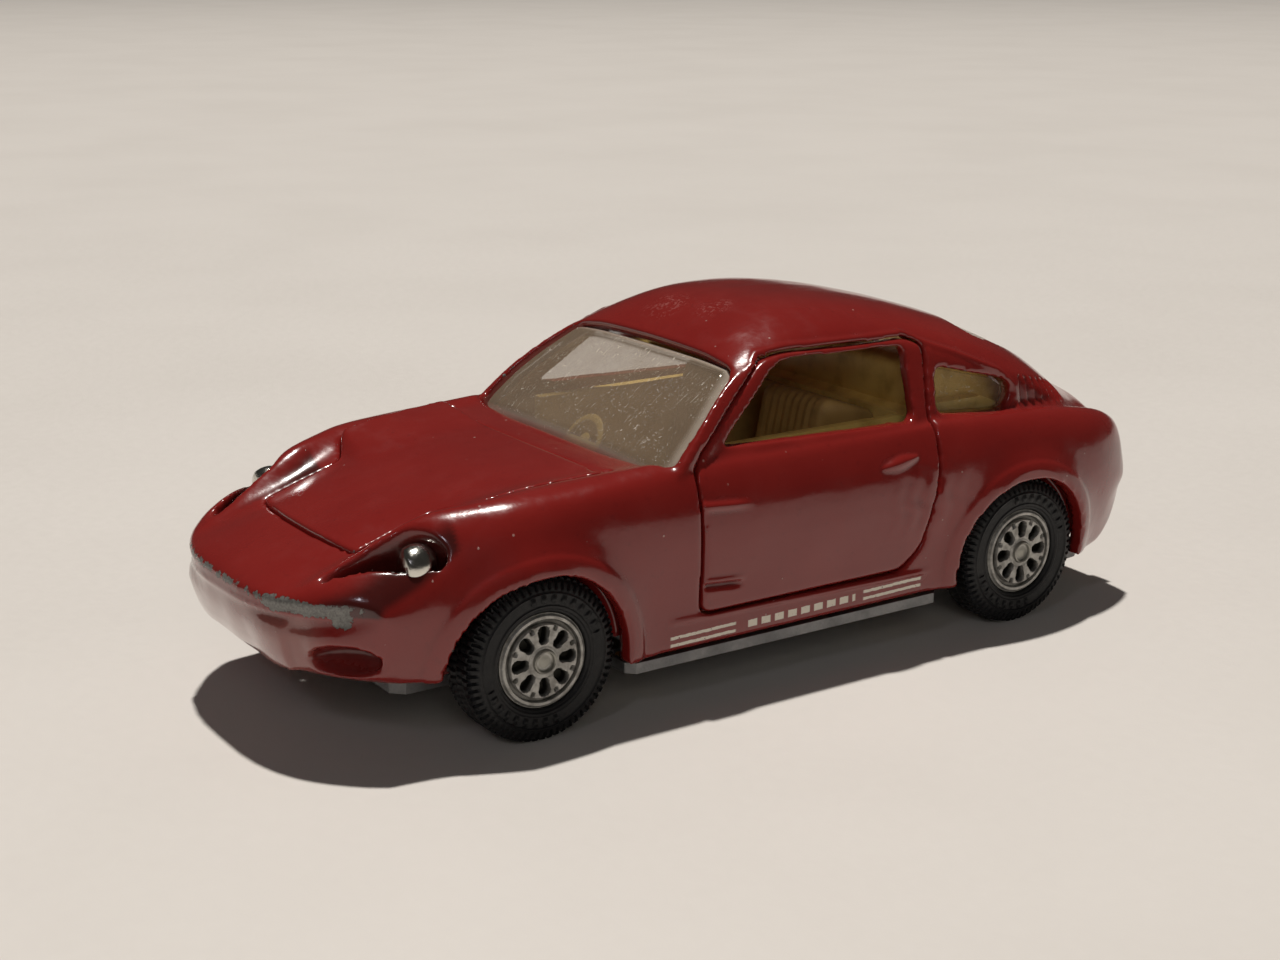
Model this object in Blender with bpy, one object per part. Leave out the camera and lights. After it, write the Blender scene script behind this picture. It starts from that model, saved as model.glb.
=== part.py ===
"""Die-cast collector coupe, about 1:40, with opening doors, bonnet, take-off wheels and folding jacks.

Forward is -Y, the car's left is +X, up is +Z.  The origin is on the ground, under the middle of the car.
All the dimensions below are in millimetres and are turned into metres as the meshes are made.  Stations
are counted from a point between the axles, and CENTRE_Y moves them so the origin is under the car's middle.
"""
import bpy
import bmesh
import math
from mathutils import Matrix, Vector

MM = 0.001

# ---- driving dimensions ----
CENTRE_Y = 1.1
AXLE_FRONT = -25.0
AXLE_REAR = 25.5
TYRE_RADIUS = 6.75
TYRE_INNER = 12.6
TYRE_OUTER = 17.2
RIM_RADIUS = 3.9
ARCH_RADIUS = 7.8
ARCH_HEIGHT = 6.1
SHELL = 1.3
ROOF_SHELL = 1.2
DOOR_SKIN = 1.2
GAP = 0.3
BASE_BOTTOM = 3.7
BASE_TOP = 4.6
DOOR_HINGE = (17.5, -10.1)
BONNET_HINGE_Y = -17.4
BONNET_HINGE_Z = 20.0
BONNET_PROUD = 0.35
STUB_RADIUS = 0.8
RIVET_RADIUS = 1.6
JACK_LENGTH = 4.0
COLUMN_TOP = (-6.4, -6.9, 16.6)
COLUMN_TILT = math.radians(58)
SIDES = (("left", 1), ("right", -1))
AXLES = (("front", AXLE_FRONT), ("rear", AXLE_REAR))


# ---- curves that describe the body ----
def curve(*knots):
    """Smooth function through (station, value) knots; its slopes are limited so it never overshoots."""
    at = [k[0] for k in knots]
    value = [k[1] for k in knots]
    gap = [b - a for a, b in zip(at, at[1:])]
    rise = [(b - a) / g for a, b, g in zip(value, value[1:], gap)]
    slope = [rise[0]]
    for i in range(1, len(knots) - 1):
        if rise[i - 1] * rise[i] <= 0:
            slope.append(0.0)
            continue
        before = 2 * gap[i] + gap[i - 1]
        after = gap[i] + 2 * gap[i - 1]
        slope.append((before + after) / (before / rise[i - 1] + after / rise[i]))
    slope.append(rise[-1])

    def evaluate(s):
        i = 0
        while i < len(gap) - 1 and s > at[i + 1]:
            i += 1
        t = min(max((s - at[i]) / gap[i], 0.0), 1.0)
        start = (2 * t ** 3 - 3 * t ** 2 + 1) * value[i] + (t ** 3 - 2 * t ** 2 + t) * slope[i] * gap[i]
        end = (3 * t ** 2 - 2 * t ** 3) * value[i + 1] + (t ** 3 - t ** 2) * slope[i + 1] * gap[i]
        return start + end

    return evaluate


def smooth_chain(points, per_span):
    """Catmull-Rom chain through 2-D points."""
    first = [2 * a - b for a, b in zip(points[0], points[1])]
    last = [2 * a - b for a, b in zip(points[-1], points[-2])]
    p = [first, *points, last]
    chain = []
    for i in range(1, len(p) - 2):
        for k in range(per_span):
            t = k / per_span
            chain.append([0.5 * (2 * b + (c - a) * t + (2 * a - 5 * b + 4 * c - d) * t * t
                                 + (3 * b - a - 3 * c + d) * t ** 3)
                          for a, b, c, d in zip(p[i - 1], p[i], p[i + 1], p[i + 2])])
    chain.append(list(points[-1]))
    return chain


# Lower body: each line runs from nose to tail; _x is its half width and _z its height.
DECK_Z = curve((-44.5, 12.75), (-44.1, 13.2), (-42, 14.1), (-37.6, 15.5), (-30, 17.7), (-22, 19.3),
               (-14, 19.7), (0, 19.0), (20, 18.0), (34, 17.4), (39.5, 17.0), (41.4, 16.0), (42.2, 14.0))
VALLEY_X = curve((-44.5, 8.5), (-36, 9.2), (-30, 10.0), (-20, 11.8), (-14, 12.6), (30, 12.4), (42.2, 10.6))
VALLEY_Z = curve((-44.5, 12.8), (-44.1, 13.2), (-42, 14.0), (-37.6, 15.5), (-30, 17.8), (-22, 19.4),
                 (-14, 19.8), (0, 19.3), (20, 18.3), (34, 17.6), (39.5, 17.0), (41.4, 16.0), (42.2, 14.0))
CREST_X = curve((-44.5, 11.2), (-38, 11.6), (-34.5, 12.0), (-28, 13.8), (-20, 14.4), (-10, 15.0),
                (14, 15.1), (30, 14.8), (38, 14.0), (42.2, 13.0))
CREST_Z = curve((-44.5, 12.9), (-44, 13.6), (-43, 14.4), (-41, 15.6), (-38, 17.1), (-34.6, 18.6),
                (-30, 19.2), (-25, 19.6), (-19, 19.9), (-12, 20.2), (14, 20.0), (25, 19.6), (33, 18.9),
                (38, 17.9), (41.2, 16.4), (42.2, 14.0))
SHOULDER_X = curve((-44.5, 14.2), (-40, 14.8), (-34, 15.8), (-28, 16.3), (-18, 16.6), (14, 16.4),
                   (25, 16.8), (34, 16.4), (40, 15.2), (42.2, 14.1))
SHOULDER_Z = curve((-44.5, 12.95), (-44, 13.6), (-43, 14.2), (-41, 14.9), (-38, 15.8), (-34, 17.2),
                   (-28, 18.1), (-18, 18.8), (14, 18.7), (25, 18.1), (33, 17.2), (38, 16.3), (41.2, 14.8),
                   (42.2, 13.0))
SIDE_X = curve((-44.5, 15.6), (-40, 16.2), (-34, 17.2), (-28, 17.6), (-18, 17.5), (14, 17.5),
               (25, 17.7), (34, 17.2), (40, 15.8), (42.2, 14.6))
SIDE_Z = curve((-44.5, 12.7), (-43.6, 12.2), (-41, 12.4), (-34, 14.2), (-18, 14.8), (14, 14.8),
               (25, 14.4), (36, 13.0), (41.2, 11.5), (42.2, 11.2))
LOW_X = curve((-44.5, 15.4), (-42, 15.4), (-38, 16.0), (-33, 16.9), (-18, 17.1), (14, 17.1),
              (25, 17.2), (34, 16.8), (39, 15.4), (42.2, 14.0))
LOW_Z = curve((-44.5, 11.8), (-43.8, 9.9), (-42.4, 8.8), (-38, 8.8), (-33, 8.8), (16, 8.6),
              (34, 8.6), (39, 8.2), (41.3, 9.3), (42.2, 10.3))
FOOT_X = curve((-44.5, 15.0), (-42, 14.6), (-38, 15.2), (-33, 16.6), (-18, 17.0), (14, 17.0),
               (25, 17.0), (33, 16.5), (38, 14.8), (42.2, 13.8))
FOOT_Z = curve((-44.5, 11.2), (-43.9, 8.8), (-42.8, 6.8), (-39, 6.2), (-33, 6.2), (-25, 5.2), (-17, 4.9),
               (16, 4.9), (33, 5.0), (37, 4.8), (39.3, 5.0), (40.9, 6.6), (41.8, 8.4), (42.2, 9.6))
LOWER_BOW = curve((-44.5, 0.94), (-40, 0.9), (-33, 0.5), (-25, 0.0), (25, 0.0), (34, -0.08), (42.2, -0.2))

# Cabin: the roof's height, the drop from roof to eave, and the half width of the walls.
ROOF_Z = curve((-15.2, 18.9), (-14.2, 19.7), (-3.7, 27.3), (-1.2, 29.0), (1.2, 30.0), (4.5, 30.5),
               (8, 30.5), (13, 30.0), (18, 29.0), (25, 26.9), (31, 24.1), (34, 22.0), (37, 20.0),
               (40.5, 18.3), (41.8, 17.2))
EAVE_DROP = curve((-15.2, 0.7), (-4, 1.4), (-1, 2.7), (3, 4.1), (14, 3.9), (25, 4.2), (34, 4.2),
                  (41.8, 2.6))
EAVE_X = curve((-15.2, 16.4), (-13, 16.3), (-9.7, 15.6), (-6.1, 14.1), (-4, 13.3), (0, 12.9), (14, 12.9),
               (20, 13.7), (27, 14.2), (34, 13.9), (38, 13.2), (41.8, 11.6))
BASE_X = curve((-15.2, 16.6), (-8, 16.4), (0, 16.1), (14, 15.9), (27, 15.2), (34, 14.2), (38, 13.3),
               (41.8, 11.7))
HOUSE_BOW = curve((-15.2, 1.5), (-4, -0.3), (0, 0.0), (30, 0.0), (41.8, -1.2))
ROOF_ARC = ((0, 0), (0.35, 0.035), (0.62, 0.16), (0.84, 0.45), (0.95, 0.75), (1, 1))


def flare(y, z, axle):
    """How far the wheel arch's lip swells out of the body's side."""
    reach = math.hypot(y - axle, z - TYRE_RADIUS)
    t = min(max((10.2 - reach) / 3.2, 0.0), 1.0)
    return 0.75 * t * t * (3 - 2 * t)


def lower_profile(s, per_span, depth=0.0):
    """Half section of the lower body at station s, from the centre of the deck out and down to the sill."""
    deck, valley = DECK_Z(s) - depth, VALLEY_Z(s) - depth
    marks = ((0, deck), (0.55 * VALLEY_X(s), 0.5 * (deck + valley)), (VALLEY_X(s), valley),
             (CREST_X(s) - 0.4 * depth, CREST_Z(s) - depth),
             (SHOULDER_X(s) - 0.75 * depth, SHOULDER_Z(s) - 0.75 * depth),
             (SIDE_X(s) - depth, SIDE_Z(s)), (LOW_X(s) - depth, LOW_Z(s)), (FOOT_X(s) - depth, FOOT_Z(s)))
    return smooth_chain(marks, per_span)


def house_profile(s, per_span, depth=0.0):
    """Half section of the cabin at station s, from the centre of the roof down to the waist."""
    top, drop = ROOF_Z(s) - depth, EAVE_DROP(s)
    eave_x, eave_z = EAVE_X(s) - depth, top - drop
    base_z = min(17.0, ROOF_Z(s) - drop - 1.5) - depth
    base_x = eave_x + (BASE_X(s) - EAVE_X(s)) * min(max((eave_z - base_z) / 8.0, 0.0), 1.2)
    marks = [(a * eave_x, top - b * drop) for a, b in ROOF_ARC]
    marks += [((eave_x + base_x) / 2, (eave_z + base_z) / 2), (base_x, base_z)]
    return smooth_chain(marks, per_span)


def lower_y(s, x):
    return s + LOWER_BOW(s) * 0.00109 * abs(x) ** 3.2


def house_y(s, x):
    return s + HOUSE_BOW(s) * (abs(x) / 14.6) ** 2


def side_x(y, z):
    """Half width of the outer surface at a place on the car's side."""
    widest = 0.0
    for chain in (lower_profile(y, 4), house_profile(y, 4)):
        for (xa, za), (xb, zb) in zip(chain, chain[1:]):
            if min(za, zb) <= z <= max(za, zb) and za != zb:
                widest = max(widest, xa + (xb - xa) * (z - za) / (zb - za))
    return widest


def house_z(s, x):
    """Height of the cabin's outer surface at a place across station s."""
    chain = house_profile(s, 4)
    for (xa, za), (xb, zb) in zip(chain, chain[1:]):
        if xa <= abs(x) <= xb:
            return za + (zb - za) * (abs(x) - xa) / (xb - xa)
    return chain[0][1]


def deck_z(s, x):
    """Height of the outer surface over a place on the deck."""
    chain = lower_profile(s, 4)
    for (xa, za), (xb, zb) in zip(chain, chain[1:]):
        if xa <= abs(x) <= xb:
            return za + (zb - za) * (abs(x) - xa) / (xb - xa)
    return chain[0][1]


# ---- making meshes ----
def material(name, colour, roughness, metallic=0.0, transmission=0.0):
    mat = bpy.data.materials.new(name)
    mat.use_nodes = True
    shader = mat.node_tree.nodes["Principled BSDF"]
    shader.inputs["Base Color"].default_value = (*colour, 1)
    shader.inputs["Roughness"].default_value = roughness
    shader.inputs["Metallic"].default_value = metallic
    shader.inputs["Transmission Weight"].default_value = transmission
    mat.diffuse_color = (*colour, 1)
    return mat


def add(name, mesh, mat=None, origin=(0, 0, 0), smooth=40):
    """Puts a mesh made in millimetres into the scene as an object whose origin is at the given place."""
    for vertex in mesh.verts:
        vertex.co = (vertex.co - Vector(origin)) * MM
    origin = Vector(origin) + Vector((0, CENTRE_Y, 0))
    bmesh.ops.recalc_face_normals(mesh, faces=mesh.faces)
    data = bpy.data.meshes.new(name)
    mesh.to_mesh(data)
    mesh.free()
    data.shade_smooth()
    data.set_sharp_from_angle(angle=math.radians(smooth))
    obj = bpy.data.objects.new(name, data)
    obj.location = origin * MM
    bpy.context.scene.collection.objects.link(obj)
    if mat:
        data.materials.append(mat)
    else:
        obj.hide_render = True
        obj.display_type = "WIRE"
    return obj


def loft_mesh(rings, fold, capped=True):
    """Skin over closed rings that all have the same number of points.

    Each end is closed by a ladder of faces whose rungs join point i to point fold - i of the ring.
    """
    mesh = bmesh.new()
    rows = [[mesh.verts.new(point) for point in ring] for ring in rings]
    count = len(rings[0])
    for low, high in zip(rows, rows[1:]):
        for i in range(count):
            j = (i + 1) % count
            mesh.faces.new((low[i], low[j], high[j], high[i]))
    if capped:
        start = fold // 2
        for row in (rows[0], rows[-1]):
            for k in range(count // 2):
                corners = []
                for i in (start - k, start - k - 1, fold - start + k + 1, fold - start + k):
                    if row[i % count] not in corners:
                        corners.append(row[i % count])
                if len(corners) > 2:
                    mesh.faces.new(corners)
    bmesh.ops.remove_doubles(mesh, verts=mesh.verts, dist=0.002)
    return mesh


def prism_mesh(outline, direction, low, high, place=None):
    """Flat outline swept along an axis.  It is (y, z) for X, (x, z) for Y and (x, y) for Z."""
    order = {"X": lambda u, v, w: (w, u, v), "Y": lambda u, v, w: (u, w, v), "Z": lambda u, v, w: (u, v, w)}
    make = place or order[direction]
    mesh = bmesh.new()
    ends = [[mesh.verts.new(make(u, v, w)) for u, v in outline] for w in (low, high)]
    for i in range(len(outline)):
        j = (i + 1) % len(outline)
        mesh.faces.new((ends[0][i], ends[0][j], ends[1][j], ends[1][i]))
    mesh.faces.new(ends[0])
    mesh.faces.new(ends[1])
    return mesh


def box_mesh(low, high):
    x0, y0, z0 = low
    x1, y1, z1 = high
    return prism_mesh([(x0, y0), (x1, y0), (x1, y1), (x0, y1)], "Z", z0, z1)


def lathe_mesh(profile, centre, axis, count=24):
    """Turns a closed (distance along the axis, radius) profile around an axis through a centre."""
    rings = []
    for along, radius in profile:
        ring = []
        for k in range(count):
            a = math.tau * k / count
            u, v = radius * math.cos(a), radius * math.sin(a)
            offset = {"X": (along, u, v), "Y": (u, along, v), "Z": (u, v, along)}[axis]
            ring.append([c + o for c, o in zip(centre, offset)])
        rings.append(ring)
    mesh = bmesh.new()
    rows = [[mesh.verts.new(point) for point in ring] for ring in rings]
    solid = profile[0][1] == 0
    following = rows[1:] if solid else rows[1:] + rows[:1]
    for low, high in zip(rows, following):
        for i in range(count):
            j = (i + 1) % count
            mesh.faces.new((low[i], low[j], high[j], high[i]))
    bmesh.ops.remove_doubles(mesh, verts=mesh.verts, dist=0.002)
    return mesh


def rod_mesh(centre, axis, radius, low, high, count=16):
    """Solid round bar."""
    return lathe_mesh([(low, 0.0), (low, radius), (high, radius), (high, 0.0)], centre, axis, count)


def boolean(obj, tool, operation="DIFFERENCE"):
    change = obj.modifiers.new(tool.name, "BOOLEAN")
    change.operation = operation
    change.solver = "EXACT"
    change.object = tool


def rounded(points, radius, steps=3):
    """Rounds the corners of a flat outline."""
    out = []
    for i, here in enumerate(points):
        here = Vector(here)
        before = Vector(points[i - 1]) - here
        after = Vector(points[(i + 1) % len(points)]) - here
        cut = min(radius, before.length * 0.45, after.length * 0.45)
        start = here + before.normalized() * cut
        end = here + after.normalized() * cut
        for k in range(steps + 1):
            t = k / steps
            p = start * (1 - t) ** 2 + here * 2 * t * (1 - t) + end * t * t
            out.append((p[0], p[1]))
    return out


def mirrored(outline, side):
    return [(side * x, y) for x, y in outline][::side]


def full_ring(chain, floor_z, place, pinched=False):
    """Closed ring from a half section: over the top, and back along a floor, or back the same way."""
    foot = chain[-1][0]
    steps = len(chain) - 2
    floor = [[foot * (steps - i) / (steps + 1), floor_z] for i in range(steps)]
    middle = floor_z
    if pinched:
        floor = [list(p) for p in reversed(chain[1:-1])]
        middle = chain[0][1]
    half = [list(p) for p in chain] + floor
    ring = half + [[0.0, middle]] + [[-x, z] for x, z in reversed(half[1:])]
    return [place(x, z) for x, z in ring]


# ---- the solids that the body and its doors are cut from ----
def lower_mesh(depth=0.0, per_span=2):
    if depth:
        stations = (-40, -37, -33.5, -30, -27.5, -25, -21, -16, -8, 2, 12, 18, 22, 26, 30, 34, 37, 39, 40.4)
    else:
        stations = (-44.5, -44.1, -43.2, -42, -40, -38, -36, -34, -32, -30, -27.5, -25, -22.5, -20, -17.5,
                    -14, -8, 0, 8, 14, 17.5, 20, 22.5, 25.5, 28.5, 31, 33.5, 36, 38, 39.6, 41, 41.8, 42.2)
    rings = []
    for s in stations:
        chain = lower_profile(s, per_span, depth)
        floor = chain[-1][1]
        if depth:
            floor -= 3.0
            chain[-1] = [chain[-1][0], floor]
            pinched = False
        else:
            pinched = s in (stations[0], stations[-1])

        waist = 1.0
        if depth:
            waist = 0.55 + 0.45 * min(max((s + 33.5) / 3.5, 0.0), 1.0)

        def place(x, z, s=s, waist=waist):
            x = x * waist
            if waist < 1:
                z = min(z, DECK_Z(s) - depth)
            y = lower_y(s, x)
            swell = 0.0
            if abs(x) > 10 and z < 17:
                swell = flare(y, z, AXLE_FRONT) + flare(y, z, AXLE_REAR)
            return (x + math.copysign(swell, x), y, z)

        rings.append(full_ring(chain, floor, place, pinched))
    return loft_mesh(rings, len(rings[0]) // 2, bool(depth))


def house_mesh(depth=0.0, per_span=1, floor_z=None, last=60):
    stations = (-14.2, -11, -8, -5.5, -3.7, -2.4, -1.2, 0.5, 2.5, 5.5, 9, 13, 17, 21, 25, 29, 33)
    if depth:
        stations += (36, 38.5)
    else:
        stations = (-15.2,) + stations + (36.5, 39, 40.8, 41.8)
    rings = []
    for s in (station for station in stations if station <= last):
        chain = house_profile(s, per_span, depth)
        floor = chain[-1][1]
        if depth:
            floor = floor_z
            chain[-1] = [chain[-1][0], floor]
        rings.append(full_ring(chain, floor, lambda x, z, s=s: (x, house_y(s + depth * 0.9, x), z)))
    return loft_mesh(rings, len(rings[0]) // 2)


# ---- outlines of the openings ----
DOOR_EDGE = ((-9.95, 7.7), (-10.1, 19.3), (-8.7, 21.0), (-0.9, 27.0), (1.8, 27.35), (14.8, 27.0),
             (16.5, 26.3), (15.5, 20.2), (15.0, 15.5), (13.4, 9.6), (11.2, 7.6))
DOOR_WINDOW = ((-6.6, 20.9), (0.4, 26.3), (2.2, 26.6), (14.0, 26.0), (13.5, 20.2))
QUARTER_WINDOW = ((17.4, 24.3), (25.3, 22.3), (26.0, 21.3), (25.1, 19.6), (16.8, 20.3))
WINDSCREEN = ((0.0, 0.2), (8.0, 0.3), (13.4, 0.8), (15.0, 1.3), (15.2, 2.4), (14.7, 5.4), (13.8, 8.3),
              (12.5, 11.6), (11.6, 12.4), (7.6, 12.7), (0.0, 12.8))
REAR_SCREEN = ((0.0, 0.0), (8.8, 0.0), (10.2, 1.2), (9.4, 9.6), (8.2, 10.6), (0.0, 10.9))


def grown(outline, distance):
    """Moves every edge of a flat outline outwards by a distance."""
    area = sum(a[0] * b[1] - b[0] * a[1] for a, b in zip(outline, outline[1:] + outline[:1]))
    turn = 1 if area > 0 else -1
    out = []
    for i, here in enumerate(outline):
        here = Vector(here)
        into = (here - Vector(outline[i - 1])).normalized()
        away = (Vector(outline[(i + 1) % len(outline)]) - here).normalized()
        n1 = Vector((into[1], -into[0])) * turn
        n2 = Vector((away[1], -away[0])) * turn
        push = (n1 + n2) / max(1.0 + n1.dot(n2), 0.3)
        out.append(tuple(here + push * distance))
    return out


def bonnet_half_width(s):
    """Narrow between the lamps, then a step out to the wings."""
    t = min(max((s + 30.2) / 2.2, 0.0), 1.0)
    narrow = 8.5 + 0.03 * (s + 37)
    wide = 12.0 + 0.1 * (s + 28)
    return narrow + (wide - narrow) * t * t * (3 - 2 * t)


BONNET_STATIONS = (-37.3, -35, -32.5, -30.4, -29.6, -28.8, -28, -25, -22, -19.5, -17.4)


def bonnet_mesh(top, bottom, margin=0.0):
    """Slab that follows the deck, top above it and bottom below it."""
    stations = list(BONNET_STATIONS)
    stations[0] -= margin
    stations[-1] += margin
    shares = (-1.0, -0.8, -0.55, -0.28, 0.0, 0.28, 0.55, 0.8, 1.0)
    rings = []
    for s in stations:
        half = bonnet_half_width(s) + margin
        across = [share * half for share in shares]
        upper = [(x, lower_y(s, x), deck_z(s, x) + top) for x in across]
        lower = [(x, y, z - top + bottom) for x, y, z in reversed(upper)]
        rings.append(upper + lower)
    return loft_mesh(rings, len(rings[0]) - 1)


def slanted(origin, angle):
    """Places an outline given on a sloping screen: u across, v up the slope, w square out of it."""
    up = (math.cos(angle), math.sin(angle))
    out = (-math.sin(angle), math.cos(angle))
    return lambda u, v, w: (u, origin[0] + v * up[0] + w * out[0], origin[1] + v * up[1] + w * out[1])


def both_halves(half):
    return list(half) + [(-x, v) for x, v in reversed(half) if x > 0]


SCREEN_LEAN = 0.85
WINDSCREEN_PLANE = slanted((-14.2, 19.9), math.radians(34.8))
REAR_PLANE = slanted((24.2, 27.2), math.radians(-29.0))


# ---- sub-parts ----
def body_shell(paint):
    body = add("body_shell", lower_mesh(), paint)
    for name, side in SIDES:
        for axle_name, axle in AXLES:
            low, high = sorted((side * 11.6, side * 24.0))
            arch = rod_mesh((0, axle - 0.2, ARCH_HEIGHT), "X", ARCH_RADIUS, low, high, 32)
            boolean(body, add(f"arch_cut_{axle_name}_{name}", arch))
        boolean(body, add(f"lamp_cut_{name}", lamp_recess(side)))
        boolean(body, add(f"intake_cut_{name}", intake(side)))
        lamp_seat = rod_mesh((side * 10.3, 0, 10.6), "Y", 0.95 + GAP, 40.3, 46.0, 14)
        boolean(body, add(f"tail_lamp_seat_{name}", lamp_seat))
    boolean(body, add("plate_seat", box_mesh((-4.5, 41.3, 8.6), (4.5, 46.0, 11.2))))
    boolean(body, add("cabin_form", house_mesh()), "UNION")
    boolean(body, add("lower_hollow", lower_mesh(SHELL, 1)))
    boolean(body, add("cabin_hollow", house_mesh(ROOF_SHELL, 1, 13.0)))
    screen = both_halves(WINDSCREEN)
    boolean(body, add("windscreen_cut", prism_mesh(screen, None, -3.0, 3.0, WINDSCREEN_PLANE)))
    rear = both_halves(REAR_SCREEN)
    boolean(body, add("rear_screen_cut", prism_mesh(rear, None, -3.0, 3.0, REAR_PLANE)))
    boolean(body, add("bonnet_cut", bonnet_mesh(4.0, -4.0, GAP)))
    for name, side in SIDES:
        reach = sorted((side * 9.0, side * 22.0))
        edge = rounded(grown(list(DOOR_EDGE), GAP), 0.8, 2)
        boolean(body, add(f"door_cut_{name}", prism_mesh(edge, "X", *reach)))
        pane = rounded(list(QUARTER_WINDOW), 0.5, 2)
        boolean(body, add(f"quarter_cut_{name}", prism_mesh(pane, "X", *reach)))
    return body


def lamp_recess(side):
    """Three-cornered scoop beside the bonnet: an overhanging wall behind, running out to a point in front."""
    plan = [(9.9, -42.0), (12.1, -39.6), (13.9, -37.1), (15.3, -34.9), (15.8, -33.4), (15.2, -32.5),
            (13.5, -32.8), (11.6, -34.6)]
    plan = mirrored(rounded(plan, 0.6, 2), side)
    mesh = prism_mesh(plan, "Z", 0.0, 6.0)
    for vertex in mesh.verts:
        x, y, top = vertex.co
        z = 24.0 if top > 1 else 12.5 + 0.04 * (y + 42) + 0.5 * max(0.0, abs(x) - 13.0)
        overhang = 0.28 * (18.0 - z) if y > -34.8 else 0.0
        vertex.co = (x, y + overhang, z)
    return mesh


def intake(side):
    """Shallow oval scoop low on the corner of the nose."""
    mesh = bmesh.new()
    bmesh.ops.create_uvsphere(mesh, u_segments=14, v_segments=8, radius=1.0)
    for vertex in mesh.verts:
        x, y, z = vertex.co
        turn = math.radians(48) * side
        x, y = x * 3.0, y * 1.5
        vertex.co = (side * 12.9 + x * math.cos(turn) - y * math.sin(turn),
                     -39.9 + x * math.sin(turn) + y * math.cos(turn), 8.4 + z * 1.15)
    return mesh


def door(name, side, paint):
    """Skin with a thin frame round its open window; it follows the body's side."""
    stations = (-10.1, -8.7, -5, -0.9, 1.8, 6, 10, 13.4, 15.0, 16.5)
    heights = (7.6, 9.6, 12, 15, 17.5, 19.0, 19.8, 20.4, 21.5, 23.5, 25.3, 26.3, 27.4)
    rings = []
    for y in stations:
        outer = [(side * side_x(y, z), y, z) for z in heights]
        inner = [(x - side * DOOR_SKIN, y, z) for x, y, z in reversed(outer)]
        rings.append(outer + inner)
    origin = (side * DOOR_HINGE[0], DOOR_HINGE[1], 0)
    panel = add(f"door_{name}", loft_mesh(rings, len(rings[0]) - 1), paint, origin)
    low, high = sorted((side * 8.0, side * 22.0))
    edge = rounded(list(DOOR_EDGE), 0.8, 2)
    boolean(panel, add(f"door_form_{name}", prism_mesh(edge, "X", low, high)), "INTERSECT")
    window = rounded(list(DOOR_WINDOW), 0.5, 2)
    boolean(panel, add(f"door_window_{name}", prism_mesh(window, "X", low, high)))
    return panel


def bonnet(paint):
    origin = (0, BONNET_HINGE_Y, BONNET_HINGE_Z)
    return add("bonnet", bonnet_mesh(BONNET_PROUD, -0.95), paint, origin)


def base_plate(metal):
    """Plate under the car: narrow between the wheels of an axle, full width between and behind the axles."""
    half = [(9.4, -34.6), (10.4, -33.6), (10.4, -16.9), (16.0, -16.9), (16.7, -16.2), (16.7, 15.4),
            (16.0, 16.1), (10.4, 16.1), (10.4, 34.2), (14.2, 34.2), (14.0, 35.6), (13.0, 37.0)]
    outline = half + [(-x, y) for x, y in reversed(half)]
    plate = add("base_plate", prism_mesh(outline, "Z", BASE_BOTTOM, BASE_TOP), metal)
    for axle_name, axle in AXLES:
        for name, side in SIDES:
            low, high = sorted((side * 6.4, side * 10.4))
            block = box_mesh((low, axle - 2.0, BASE_BOTTOM + 0.4), (high, axle + 2.0, TYRE_RADIUS + 2.1))
            boolean(plate, add(f"axle_block_{axle_name}_{name}", block), "UNION")
            low, high = sorted((side * 5.0, side * 12.0))
            bore = rod_mesh((0, axle, TYRE_RADIUS), "X", STUB_RADIUS + GAP, low, high, 12)
            boolean(plate, add(f"axle_bore_{axle_name}_{name}", bore))
            inward = -1 if axle > 0 else 1
            start = jack_pivot(axle)[0] - inward * 0.8
            y0, y1 = sorted((start, start + inward * (JACK_LENGTH + 1.4)))
            low, high = sorted((side * 12.9, side * 15.3))
            slot = box_mesh((low, y0, BASE_BOTTOM - 1), (high, y1, BASE_TOP + 1))
            boolean(plate, add(f"jack_slot_{axle_name}_{name}", slot))
    for name, y in (("front", -31.0), ("rear", 32.5)):
        hole = rod_mesh((0, y, 0), "Z", RIVET_RADIUS + GAP, 2.0, 6.0, 12)
        boolean(plate, add(f"rivet_hole_{name}", hole))
    return plate


def rivet(name, y, metal):
    """Spread end of a body post, level with the base that it holds."""
    foot, top = BASE_BOTTOM + 0.05, BASE_TOP + 0.1
    profile = [(foot, 0), (foot, 0.7 * RIVET_RADIUS), (foot + 0.15, RIVET_RADIUS)]
    profile += [(foot + 0.5, RIVET_RADIUS), (foot + 0.5, 0.9), (top, 0.9), (top, 0)]
    return add(name, lathe_mesh(profile, (0, y, 0), "Z", 12), metal)


def jack_pivot(axle):
    return (axle + 9.3, 4.15) if axle < 0 else (axle - 9.7, 4.15)


def jack(name, side, axle, metal):
    """Flat leg that lies in a slot of the base and swings down beside its wheel."""
    y0, z0 = jack_pivot(axle)
    inward = -1 if axle > 0 else 1
    outline = [(0.0, -0.3), (JACK_LENGTH - 0.6, -0.3), (JACK_LENGTH, -0.1), (JACK_LENGTH, 0.1),
               (JACK_LENGTH - 0.6, 0.3), (0.0, 0.3)]
    for degrees in (120, 150, 180, 210, 240):
        a = math.radians(degrees)
        outline.append((0.34 * math.cos(a), 0.34 * math.sin(a)))
    outline = [(y0 + inward * u, z0 + v) for u, v in outline]
    low, high = sorted((side * 13.2, side * 15.0))
    return add(name, prism_mesh(outline, "X", low, high), metal, (side * 14.1, y0, z0))


def half_width(outline, v):
    """Widest half width of a screen's outline at height v up its slope."""
    widest = 0.0
    for (ua, va), (ub, vb) in zip(outline, outline[1:]):
        if min(va, vb) <= v <= max(va, vb) and va != vb:
            widest = max(widest, ua + (ub - ua) * (v - va) / (vb - va))
    return widest


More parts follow.
